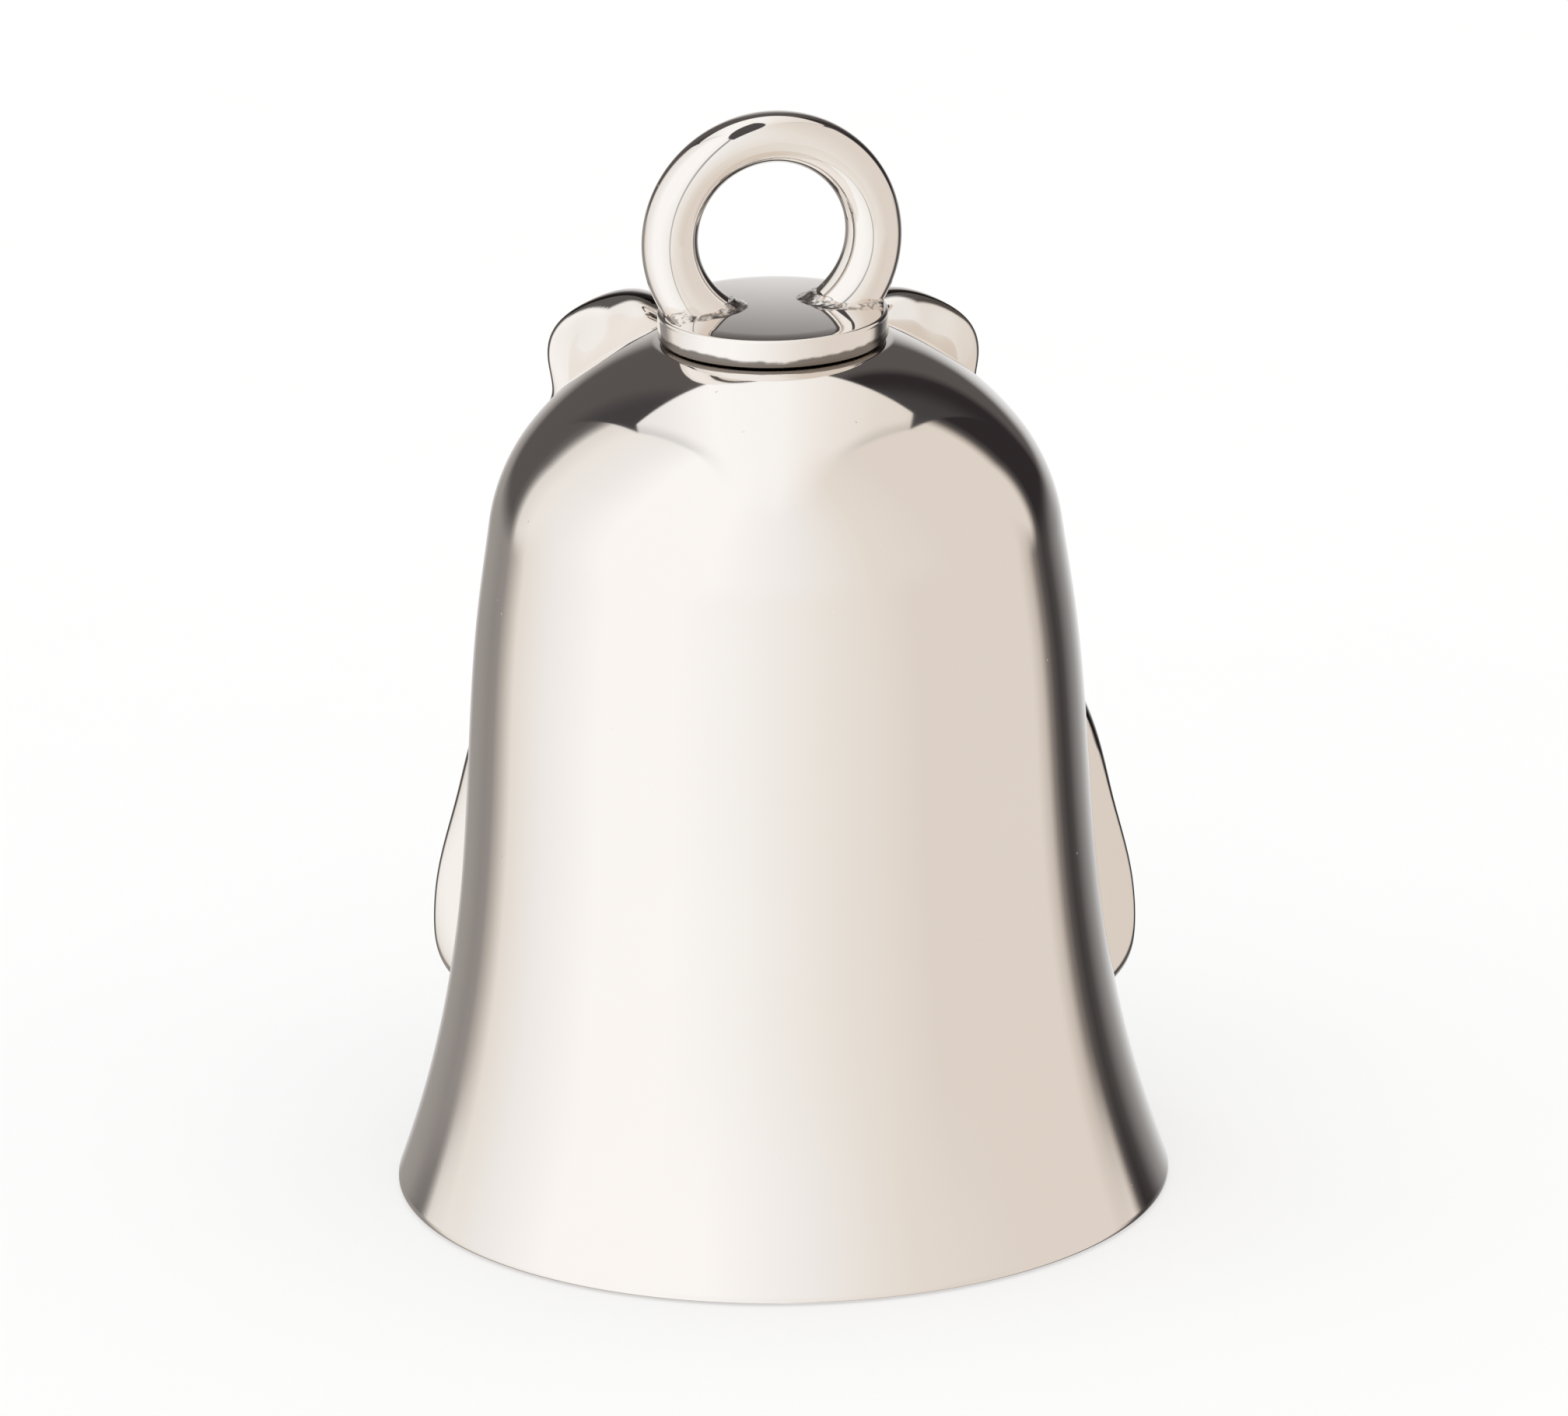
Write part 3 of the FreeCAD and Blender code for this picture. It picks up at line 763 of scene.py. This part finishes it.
def dark_rim(x, z, rim, thin, arch, cusp, low, pitch=1.8, first=7.0):
    """Painted shade: the dark band along a wing's back edge, arches meeting in cusps above a height, thin
    below it.
    """
    arches = np.abs(np.sin(math.pi * (x - first) / pitch)) ** 0.7
    width = thin + (arch + (cusp - arch) * (1 - arches) - thin) * smooth(z, low, low + 0.8)
    return 1 - smooth(rim, 0.72 * width, 1.12 * width)


def wing(skin, face, wall, points, back, side, placing, root, rays, cell, looks):
    """One wing: a cast front with veins and beads, a rounded edge and a smooth slanting back."""
    around, rings, back_rings = 300, 78, 60
    outline = spline(points, around, closed=True)
    middle = np.array([outline[:, 0].mean() * 0.96, outline[:, 1].mean()])
    raised = smooth(outline[:, 1], *looks["raised"])
    outline = outline + raised[:, None] * looks["grow"] * (outline - middle)

    def layer(count):
        share = 1 - (1 - np.linspace(0, 1, count)) ** 1.8
        flat = middle + share[:, None, None] * (outline - middle)[None]
        return flat[1:, :, 0], flat[1:, :, 1]

    def back_depth(x, z):
        back_x, back_y, slant = back
        slanting = back_y + (x - back_x) * math.tan(math.radians(slant))
        return np.maximum(slanting, wall_depth(wall, x, z) - BACK_SINK)

    x, z = layer(rings)
    rim = distance_to(outline, x, z)
    sunk = vein_pattern(x, z, rim, root, rays, cell)
    beads = pearls(outline, x, z, PEARL_SPACING, PEARL_INSET, PEARL_R)
    front_y, back_y = face.depth(x, z), back_depth(x, z)
    half = np.maximum(front_y - back_y, 0.3) / 2
    crown = 0.10 * smooth(rim, 0.0, 2.5)
    relief = crown - VEIN_DEPTH * sunk + PEARL_HEIGHT * beads * smooth(rim, 0.1, 0.3)
    front = np.stack([x, front_y - half + half * edge_rounding(rim, 0.5, 2.2) + relief, z], 2)

    x, z = layer(back_rings)
    rim = distance_to(outline, x, z)
    front_y, back_y = face.depth(x, z), back_depth(x, z)
    half = np.maximum(front_y - back_y, 0.3) / 2
    depth = half * edge_rounding(rim, *looks["edge"]) * fluting(x, rim, looks["flutes"])
    back_face = np.stack([x, back_y + half - depth - 0.12 * smooth(rim, 0.3, 2.0), z], 2)[:-1]
    # Painted shade: the dark band along the back edge, for the back's points.
    shaded = dark_rim(x, z, rim, *looks["rim"])[:-1]

    cloud = np.vstack([front.reshape(-1, 3), back_face.reshape(-1, 3), [front[0].mean(0)],
                       [back_face[0].mean(0)]])
    faces = grid_faces(rings - 1, around, close_columns=True)
    start = (rings - 1) * around
    rows = back_rings - 2
    faces += [tuple(start + i for i in reversed(f)) for f in grid_faces(rows, around, close_columns=True)]
    edge_front, edge_back = (rings - 2) * around, start + (rows - 1) * around
    hub_front, hub_back = len(cloud) - 2, len(cloud) - 1
    for j in range(around):
        k = (j + 1) % around
        faces.append((edge_front + j, edge_front + k, edge_back + k, edge_back + j))
        faces.append((hub_front, k, j))
        faces.append((hub_back, start + j, start + k))
    cloud[:, 0] *= side
    shift, turn = placing
    cloud = turned_about(cloud, (0, 1, 0), turn, (0, 0, PAIR_PIVOT_Z)) + (shift, 0, 0)
    # Painted shade and grime in the sunk cells between the veins, kept as the recess value.
    recess = np.zeros(len(cloud))
    recess[:start] = (sunk * (1 - smooth(beads, 0.1, 0.6))).reshape(-1)
    recess[hub_front] = recess[:around].mean()
    # The painted shade along the back edge goes on the back's points.
    shade = np.zeros(len(cloud))
    shade[start:start + shaded.size] = shaded.reshape(-1)
    skin.add(cloud, faces, recess=recess, dark_rim=shade)


# How each cast wing differs: the heights between which its outline grows and by how much, the
# rounding of its back edge, its flutes, and its painted dark rim of shade: thin, arch and cusp widths and a
# height.
WING_LOOKS = {
    ("upper", "left"): {"raised": (25.2, 27.5), "grow": 0.04, "edge": (0.8, 2.9), "flutes": 0.06,
                        "rim": (0.07, 0.2, 0.66, 28.3)},
    ("upper", "right"): {"raised": (25.2, 27.5), "grow": 0.03, "edge": (1.0, 2.3), "flutes": 0.05,
                         "rim": (0.07, 0.15, 0.26, 27.9)},
    ("lower", "left"): {"raised": (4, 4.5), "grow": 0.014, "edge": (1.0, 2.4), "flutes": 0.0,
                        "rim": (0.06, 0.08, 0.10, 13.0)},
    ("lower", "right"): {"raised": (4, 4.5), "grow": 0.012, "edge": (1.0, 2.4), "flutes": 0.0,
                         "rim": (0.06, 0.10, 0.16, 13.0)},
}


def wings(material):
    face, wall = Face(), outer_wall()
    plans = (("upper", UPPER_WING, UPPER_BACK, UPPER_PAIR, (0.2, 18.6), (4, 22, 40, 57, 73), 5.2),
             ("lower", LOWER_WING, LOWER_BACK, LOWER_PAIR, (0.2, 15.8), (-72, -58, -45, -32, -18, -4), 5.6))
    for label, points, back, placing, root, rays, cell in plans:
        for side, hand in ((-1, "left"), (1, "right")):
            skin = Skin()
            wing(skin, face, wall, points, back, side, placing, root, rays, cell, WING_LOOKS[label, hand])
            skin.build(f"{label}_{hand}_wing", "bell", "relief_nickel", material, sharp=50)


def lean(points):
    """Turned and moved to where the body lies on the bell."""
    return turned_about(points, (1, 0, 0), BODY_LEAN, (0, 0, BODY_PIVOT_Z)) + (0, BODY_Y, 0)


def butterfly_body(material):
    """Ringed abdomen, thorax, head with eyes, and two feelers with knobs."""
    skin = Skin()
    profile = spline(BODY_POINTS, 150)
    r, z = profile.T
    rings = np.clip(np.cos(2 * math.pi * z / RING_PITCH), 0, 1) ** 4
    grooves = rings * smooth(z, 8.0, 9.0) * (1 - smooth(z, 15.2, 16.0))
    hairs = 0.3 * np.clip(np.cos(2 * math.pi * z / HAIR_PITCH), 0, 1)
    groove = grooves + hairs * smooth(z, 16.2, 16.8) * (1 - smooth(z, 19.4, 20))
    r = r - 0.12 * groove
    open_profile = np.vstack([[0, z[0] - 0.1], np.stack([r, z], 1), [0, z[-1] + 0.1]])
    points, faces = lathe(open_profile, 96, closed=False)
    # Painted shade and grime in the rings and hairs, kept as the recess value.
    recess = np.concatenate([np.repeat(groove, 96), [0, 0]])
    skin.add(lean(points), faces, recess=recess)
    for side in (-1, 1):
        ball = [(EYE_R * math.sin(a), EYE_R * math.cos(a)) for a in np.linspace(0, math.pi, 20)]
        eye, eye_faces = lathe(ball, 40, closed=False)
        skin.add(lean(eye + (side * EYE_PLACE[0], *EYE_PLACE[1:])), eye_faces)
        path = spline([(side * x, y, z) for x, y, z in FEELER_PATH], 90)
        share = np.linspace(0, 1, 90)
        thick = FEELER_R - 0.03 * smooth(share, 0, 0.8) + FEELER_R * smooth(share, 0.84, 0.95)
        thick = thick * np.sqrt(np.clip(1 - smooth(share, 0.93, 1.0) ** 2, 0.001, 1))
        feeler, feeler_faces = tube(path, thick, 32, side=(side, 0.2, 0))
        skin.add(feeler, feeler_faces)
    return skin.build("butterfly_body", "bell", "relief_nickel", material, ["front_relief"], sharp=50)


# --- Hardware inside ---
def eye_nut(material):
    """A chamfered hexagon nut with its eye."""
    low, high = node_box("eye_nut")
    flats, nut_h = high[1] - low[1], 1.6
    top, bottom = high[2], high[2] - nut_h
    corner = flats / math.sqrt(3)
    bevel = 0.22
    per_side = 10
    rows = []
    for height, trim in ((bottom, 1), (bottom + bevel, 0), (top - bevel, 0), (top, 1)):
        row = []
        for i in range(6):
            a, b = math.radians(60 * i), math.radians(60 * (i + 1))
            start = np.array([math.cos(a), math.sin(a)]) * corner
            end = np.array([math.cos(b), math.sin(b)]) * corner
            for t in np.linspace(0, 1, per_side, endpoint=False):
                p = start + (end - start) * t
                limit = flats / 2 * (1.0 if trim else 2.0)
                p = p * min(1, limit / np.linalg.norm(p)) * (0.985 if trim else 1)
                row.append((*p, height))
        rows.append(row)
    count = 6 * per_side
    points = np.vstack(rows + [[(0, 0, bottom)], [(0, 0, top)]])
    faces = grid_faces(4, count, close_columns=True)
    for j in range(count):
        k = (j + 1) % count
        faces.append((4 * count, k, j))
        faces.append((4 * count + 1, 3 * count + j, 3 * count + k))
    skin = Skin()
    skin.add(points, faces)
    wire_r, ring_r = 0.45, 1.25
    angles = np.linspace(0, 2 * math.pi, 96, endpoint=False)
    centre_z = low[2] + wire_r + ring_r
    path = np.stack([ring_r * np.sin(angles), np.zeros(96), centre_z + ring_r * np.cos(angles)], 1)
    ring, ring_faces = tube(path, wire_r, 36, closed=True)
    skin.add(ring, ring_faces)
    return skin.build("eye_nut_chamfered", "hanger", "inner_hardware", material, ["eye_nut"], sharp=25)


def washer(material):
    low, high = node_box("stud_washer")
    inner_r, outer_r, edge = 1.05, high[0], 0.08
    profile = [(inner_r, low[2] + edge), (inner_r + edge, low[2]), (outer_r - edge, low[2]),
               (outer_r, low[2] + edge), (outer_r, high[2] - edge), (outer_r - edge, high[2]),
               (inner_r + edge, high[2]), (inner_r, high[2] - edge)]
    points, faces = lathe(profile, 128)
    skin = closed_part(points, faces)
    return skin.build("stud_washer_bevelled", "hanger", "inner_hardware", material, ["stud_washer"], sharp=25)


def link(material):
    """A closed oval of wire, with the butt weld that closes it."""
    low, high = node_box("clapper_link")
    wire_r = high[0]
    bend = high[1] - wire_r
    top, bottom = high[2] - wire_r - bend, low[2] + wire_r + bend
    turn = np.linspace(0, math.pi, 40)
    upper = np.stack([np.zeros(40), bend * np.cos(turn), top + bend * np.sin(turn)], 1)
    lower = np.stack([np.zeros(40), -bend * np.cos(turn), bottom - bend * np.sin(turn)], 1)
    run = np.linspace(0, 1, 24)[1:-1, None]
    left = upper[-1] + (lower[0] - upper[-1]) * run
    right = lower[-1] + (upper[0] - lower[-1]) * run
    path = np.vstack([upper, left, lower, right])
    weld = np.exp(-((path[:, 2] - (top + bottom) / 2) / 0.12) ** 2) * (path[:, 1] > 0)
    points, faces = tube(path, wire_r * (1 + 0.10 * weld), 36, closed=True, side=(1, 0, 0))
    skin = closed_part(points, faces)
    return skin.build("clapper_link_wire", "link", "inner_hardware", material, ["clapper_link"])


def clapper(material):
    """The rod with its eye and rivet head, and the ball that strikes the wall."""
    low, high = node_box("clapper_rod")
    ball_low, ball_high = node_box("clapper_ball")
    wire_r, eye_r, rod_r, head_r = 0.4, 1.1, 0.55, 0.95
    eye_z = high[2] - wire_r - eye_r
    ball_r, ball_z = ball_high[0], (ball_low[2] + ball_high[2]) / 2
    skin = Skin()
    angles = np.linspace(0, 2 * math.pi, 96, endpoint=False)
    path = np.stack([eye_r * np.sin(angles), np.zeros(96), eye_z + eye_r * np.cos(angles)], 1)
    ring, ring_faces = tube(path, wire_r, 36, closed=True)
    skin.add(ring, ring_faces)
    neck_z = eye_z - eye_r
    head = [(head_r * math.sin(a), low[2] + head_r * (1 - math.cos(a))) for a in np.linspace(0, 1.35, 14)]
    swell = [(rod_r + 0.22 * (1 - t) ** 2, neck_z - 0.9 + 0.9 * (1 - t)) for t in np.linspace(1, 0, 10)]
    shank = [(rod_r, head[-1][1] + 0.05), (rod_r, neck_z - 1.0)]
    profile = np.vstack([head, shank, swell, [(0, neck_z + 0.1)]])
    points, faces = lathe(profile, 72, closed=False)
    skin.add(points, faces)
    rod = skin.build("clapper_rod_with_eye", "clapper", "clapper_metal", material, ["clapper_rod"])

    bore = rod_r + 0.01
    open_at = math.asin((bore + 0.12) / ball_r)
    sphere = [(ball_r * math.sin(a), ball_z + ball_r * math.cos(a))
              for a in np.linspace(open_at, math.pi - open_at, 90)]
    lip = math.sqrt(ball_r ** 2 - bore ** 2) - 0.16
    profile = np.vstack([sphere, [(bore, ball_z - lip), (bore, ball_z + lip)]])
    points, faces = lathe(profile, 144)
    skin = closed_part(points, faces)
    ball = skin.build("clapper_ball_struck", "clapper", "clapper_metal", material, ["clapper_ball"])
    return rod, ball


# --- Stage, light and camera ---
def pale_floor():
    half = 2.0
    mesh = bpy.data.meshes.new("floor")
    corners = [(-half, -half, 0), (half, -half, 0), (half, half, 0), (-half, half, 0)]
    mesh.from_pydata(corners, [], [(0, 1, 2, 3)])
    floor = new_object("floor", mesh)
    floor.location.z = -0.00005
    floor.visible_glossy = False
    material, tree, place = new_material("pale_floor")
    paper = noise_at(tree, place, 60, detail=5)
    color = mix(tree, paper, (0.93, 0.93, 0.93), (0.90, 0.90, 0.90))
    matt = node(tree, "BsdfDiffuse", {"Color": color})
    glow = node(tree, "Emission", {"Color": (1, 1, 1, 1), "Strength": 1.0})
    both = node(tree, "MixShader", {0: 0.45, 1: matt.outputs[0], 2: glow.outputs[0]})
    node(tree, "OutputMaterial", {"Surface": both.outputs[0]})
    mesh.materials.append(material)


# The studio's colour all round the bell, near the floor and higher up, as (azimuth from the camera
# in degrees, colour). Positive azimuths are on the camera's right. White and beige sheets stand in
# front, with dark gaps beside them.
WHITE = (1.07, 1.07, 1.07)
CREAM = (0.95, 0.945, 0.94)
BEIGE = (0.85, 0.80, 0.74)
SAND = (0.81, 0.745, 0.69)
GREY = (0.36, 0.335, 0.32)
SLATE = (0.105, 0.095, 0.092)
BLACK = (0.03, 0.025, 0.027)
LOW_STUDIO = [(-180, (0.85, 0.85, 0.85)), (-172, (0.62, 0.60, 0.59)), (-163, GREY),
              (-150, (0.33, 0.31, 0.295)), (-140, (0.29, 0.27, 0.26)), (-133, (0.31, 0.29, 0.28)),
              (-126, (0.55, 0.51, 0.47)),
              (-118, (0.86, 0.82, 0.77)), (-98, CREAM), (-70, WHITE), (-40, WHITE), (-12, (1.0, 1.0, 0.99)),
              (20, (0.90, 0.87, 0.83)), (55, SAND), (112, SAND), (119, (0.62, 0.56, 0.51)),
              (123.5, (0.26, 0.23, 0.21)), (128, SLATE), (133, (0.055, 0.05, 0.05)),
              (138, (0.075, 0.07, 0.07)),
              (145, (0.19, 0.185, 0.185)), (152, (0.31, 0.305, 0.305)), (158, (0.46, 0.455, 0.455)),
              (165, (0.65, 0.65, 0.65)), (172, (0.82, 0.82, 0.82)), (180, (0.85, 0.85, 0.85))]
HIGH_STUDIO = [(-180, SLATE), (-137, SLATE), (-133, (0.16, 0.15, 0.145)), (-130.5, (0.42, 0.40, 0.38)),
               (-128, (0.80, 0.78, 0.75)), (-118, (0.92, 0.90, 0.87)), (-98, CREAM), (-75, WHITE),
               (-25, WHITE),
               (8, CREAM), (40, BEIGE), (75, SAND), (124, SAND), (126, (0.55, 0.49, 0.44)), (128.5, SLATE),
               (132, BLACK), (149, BLACK), (153, SLATE), (180, SLATE)]
# The sheet overhead, by its distance to the right of the bell in parts of its height over it.
OVERHEAD = [(-1.0, (0.86, 0.85, 0.84)), (-0.6, CREAM), (-0.3, WHITE), (0.05, (1.03, 1.03, 1.02)),
            (0.25, (0.95, 0.92, 0.89)), (0.55, BEIGE), (1.0, SAND)]
OVERHEAD_BACK = 0.57        # how far it reaches behind the bell
OVERHEAD_SIDE = 0.79        # and to the sides
GAP = (0.062, 0.058, 0.06)


def colour_ramp(tree, value, stops, reach):
    """Colours along a value that runs from -reach to reach."""
    position = calc(tree, "MULTIPLY_ADD", value, 0.5 / reach, 0.5)
    ramp = node(tree, "ValToRGB", {0: position})
    ramp.color_ramp.interpolation = "LINEAR"
    elements = ramp.color_ramp.elements
    while len(elements) > 1:
        elements.remove(elements[-1])
    for index, (mark, colour) in enumerate(stops):
        place = 0.5 * mark / reach + 0.5
        element = elements[0] if index == 0 else elements.new(place)
        element.position = place
        element.color = (*colour, 1)
    return ramp.outputs[0]


def studio(camera):
    """Soft light from all round: the sheets and gaps turn with the camera, as round a turntable."""
    aim = new_object("studio_aim", None)
    follow = aim.constraints.new("LOCKED_TRACK")
    follow.target = camera
    follow.track_axis = "TRACK_NEGATIVE_Y"
    follow.lock_axis = "LOCK_Z"
    world = bpy.data.worlds.new("studio")
    bpy.context.scene.world = world
    world.use_nodes = True
    tree = world.node_tree
    tree.nodes.clear()
    place = node(tree, "TexCoord", object=aim).outputs["Object"]
    unit = node(tree, "VectorMath", {0: place}, operation="NORMALIZE").outputs[0]
    x, y, z = xyz(tree, unit)
    front = times(tree, y, -1.0)
    azimuth, elevation = direction_angles(tree, x, front, z)
    low = colour_ramp(tree, azimuth, LOW_STUDIO, 180)
    high = colour_ramp(tree, azimuth, HIGH_STUDIO, 180)
    beside = calc(tree, "ABSOLUTE", azimuth)
    gaps = times(tree, step(tree, beside, 108, 126), step(tree, beside, 173, 158))
    low_end = calc(tree, "MULTIPLY_ADD", gaps, -5.0, -5.0)
    high_end = calc(tree, "MULTIPLY_ADD", gaps, -16.0, step(tree, beside, 152, 174, 15.0, 46.0))
    sides = mix(tree, step(tree, elevation, low_end, high_end), low, high)

    # Where a direction meets the plane of the overhead sheet, in parts of its height.
    height = calc(tree, "MAXIMUM", z, 0.03)
    right = calc(tree, "DIVIDE", x, height)
    ahead = calc(tree, "DIVIDE", front, height)
    off = calc(tree, "ABSOLUTE", right)
    crease = calc(tree, "MULTIPLY_ADD", off, -1.36, 0.67)
    corner = calc(tree, "MAXIMUM", minus(tree, off, OVERHEAD_SIDE), 0.0)
    crease = calc(tree, "MULTIPLY_ADD", corner, -0.6, crease)
    over = minus(tree, crease, ahead)
    soft = step(tree, off, 0.16, 0.50, 0.34, 0.012)
    over_share = calc(tree, "DIVIDE", over, soft)
    above = step(tree, over_share, -1.0, 1.0)
    back = calc(tree, "MULTIPLY_ADD", right, 0.07, OVERHEAD_BACK)
    inside = step(tree, plus(tree, ahead, back), -0.012, 0.012)
    inside = times(tree, inside, step(tree, off, OVERHEAD_SIDE + 0.01, OVERHEAD_SIDE - 0.01))
    shade_depth = step(tree, off, 0.22, 0.55, 0.0, 0.24)
    shade = step(tree, over, 0.0, 0.16, 1.0, 0.0)
    shade = minus(tree, 1.0, times(tree, shade, shade_depth))
    overhead = mix(tree, shade, (0.0, 0.0, 0.0), colour_ramp(tree, right, OVERHEAD, 1.0))
    dark = mix(tree, step(tree, beside, 134, 146), GAP, sides)
    colour = mix(tree, above, sides, mix(tree, inside, dark, overhead))
    ray = node(tree, "LightPath")
    plain = calc(tree, "MAXIMUM", ray.outputs["Is Camera Ray"], ray.outputs["Is Diffuse Ray"])
    colour = mix(tree, plain, colour, (1.0, 1.0, 1.0))
    strength = step(tree, ray.outputs["Is Diffuse Ray"], 0.0, 1.0, 1.0, 1.14)
    background = node(tree, "Background", {"Color": colour, "Strength": strength})
    node(tree, "OutputWorld", {"Surface": background.outputs[0]})


CAMERA_TARGET_Z = 14.0
CAMERA_ELEVATION = 18.44
CAMERA_DISTANCE = 500.0
CAMERA_ROLL = 0.72
LENS = 341.7
SENSOR = 36.0
# Where the camera's middle lies from the target, to its right and up, in millimetres.
CAMERA_AIM = (0.21, 2.38)


def make_camera():
    data = bpy.data.cameras.new("camera")
    data.lens = LENS
    data.sensor_width = SENSOR
    camera = new_object("camera", data)
    tilt = math.radians(CAMERA_ELEVATION)
    target = Vector((0, 0, CAMERA_TARGET_Z))
    place = target + CAMERA_DISTANCE * Vector((0, -math.cos(tilt), math.sin(tilt)))
    up = Vector((0, math.sin(tilt), math.cos(tilt)))
    aim = target + CAMERA_AIM[0] * Vector((1, 0, 0)) + CAMERA_AIM[1] * up
    camera.rotation_mode = "QUATERNION"
    camera.location = place * MM
    look = (aim - place).to_track_quat("-Z", "Y")
    camera.rotation_quaternion = look @ Quaternion((0, 0, 1), math.radians(-CAMERA_ROLL))
    bpy.context.scene.camera = camera
    return camera


# --- Everything together ---
nickel = polished_nickel()
cast = relief_nickel()
hardware = inner_hardware()
ball_low, ball_high = node_box("clapper_ball")
bell_shell(nickel)
collar(nickel)
# The loop's nickel carries a painted reflection of the studio's sheets and dark gaps.
loop(polished_nickel("polished_nickel_loop_painted_reflection", with_painted_reflection=True))
solder(solder_joint())
wings(cast)
butterfly_body(cast)
washer(hardware)
eye_nut(hardware)
link(hardware)
clapper(clapper_metal((ball_low[2] + ball_high[2]) / 2, ball_high[0]))
pale_floor()
studio(make_camera())
bpy.context.scene.view_settings.view_transform = "Standard"
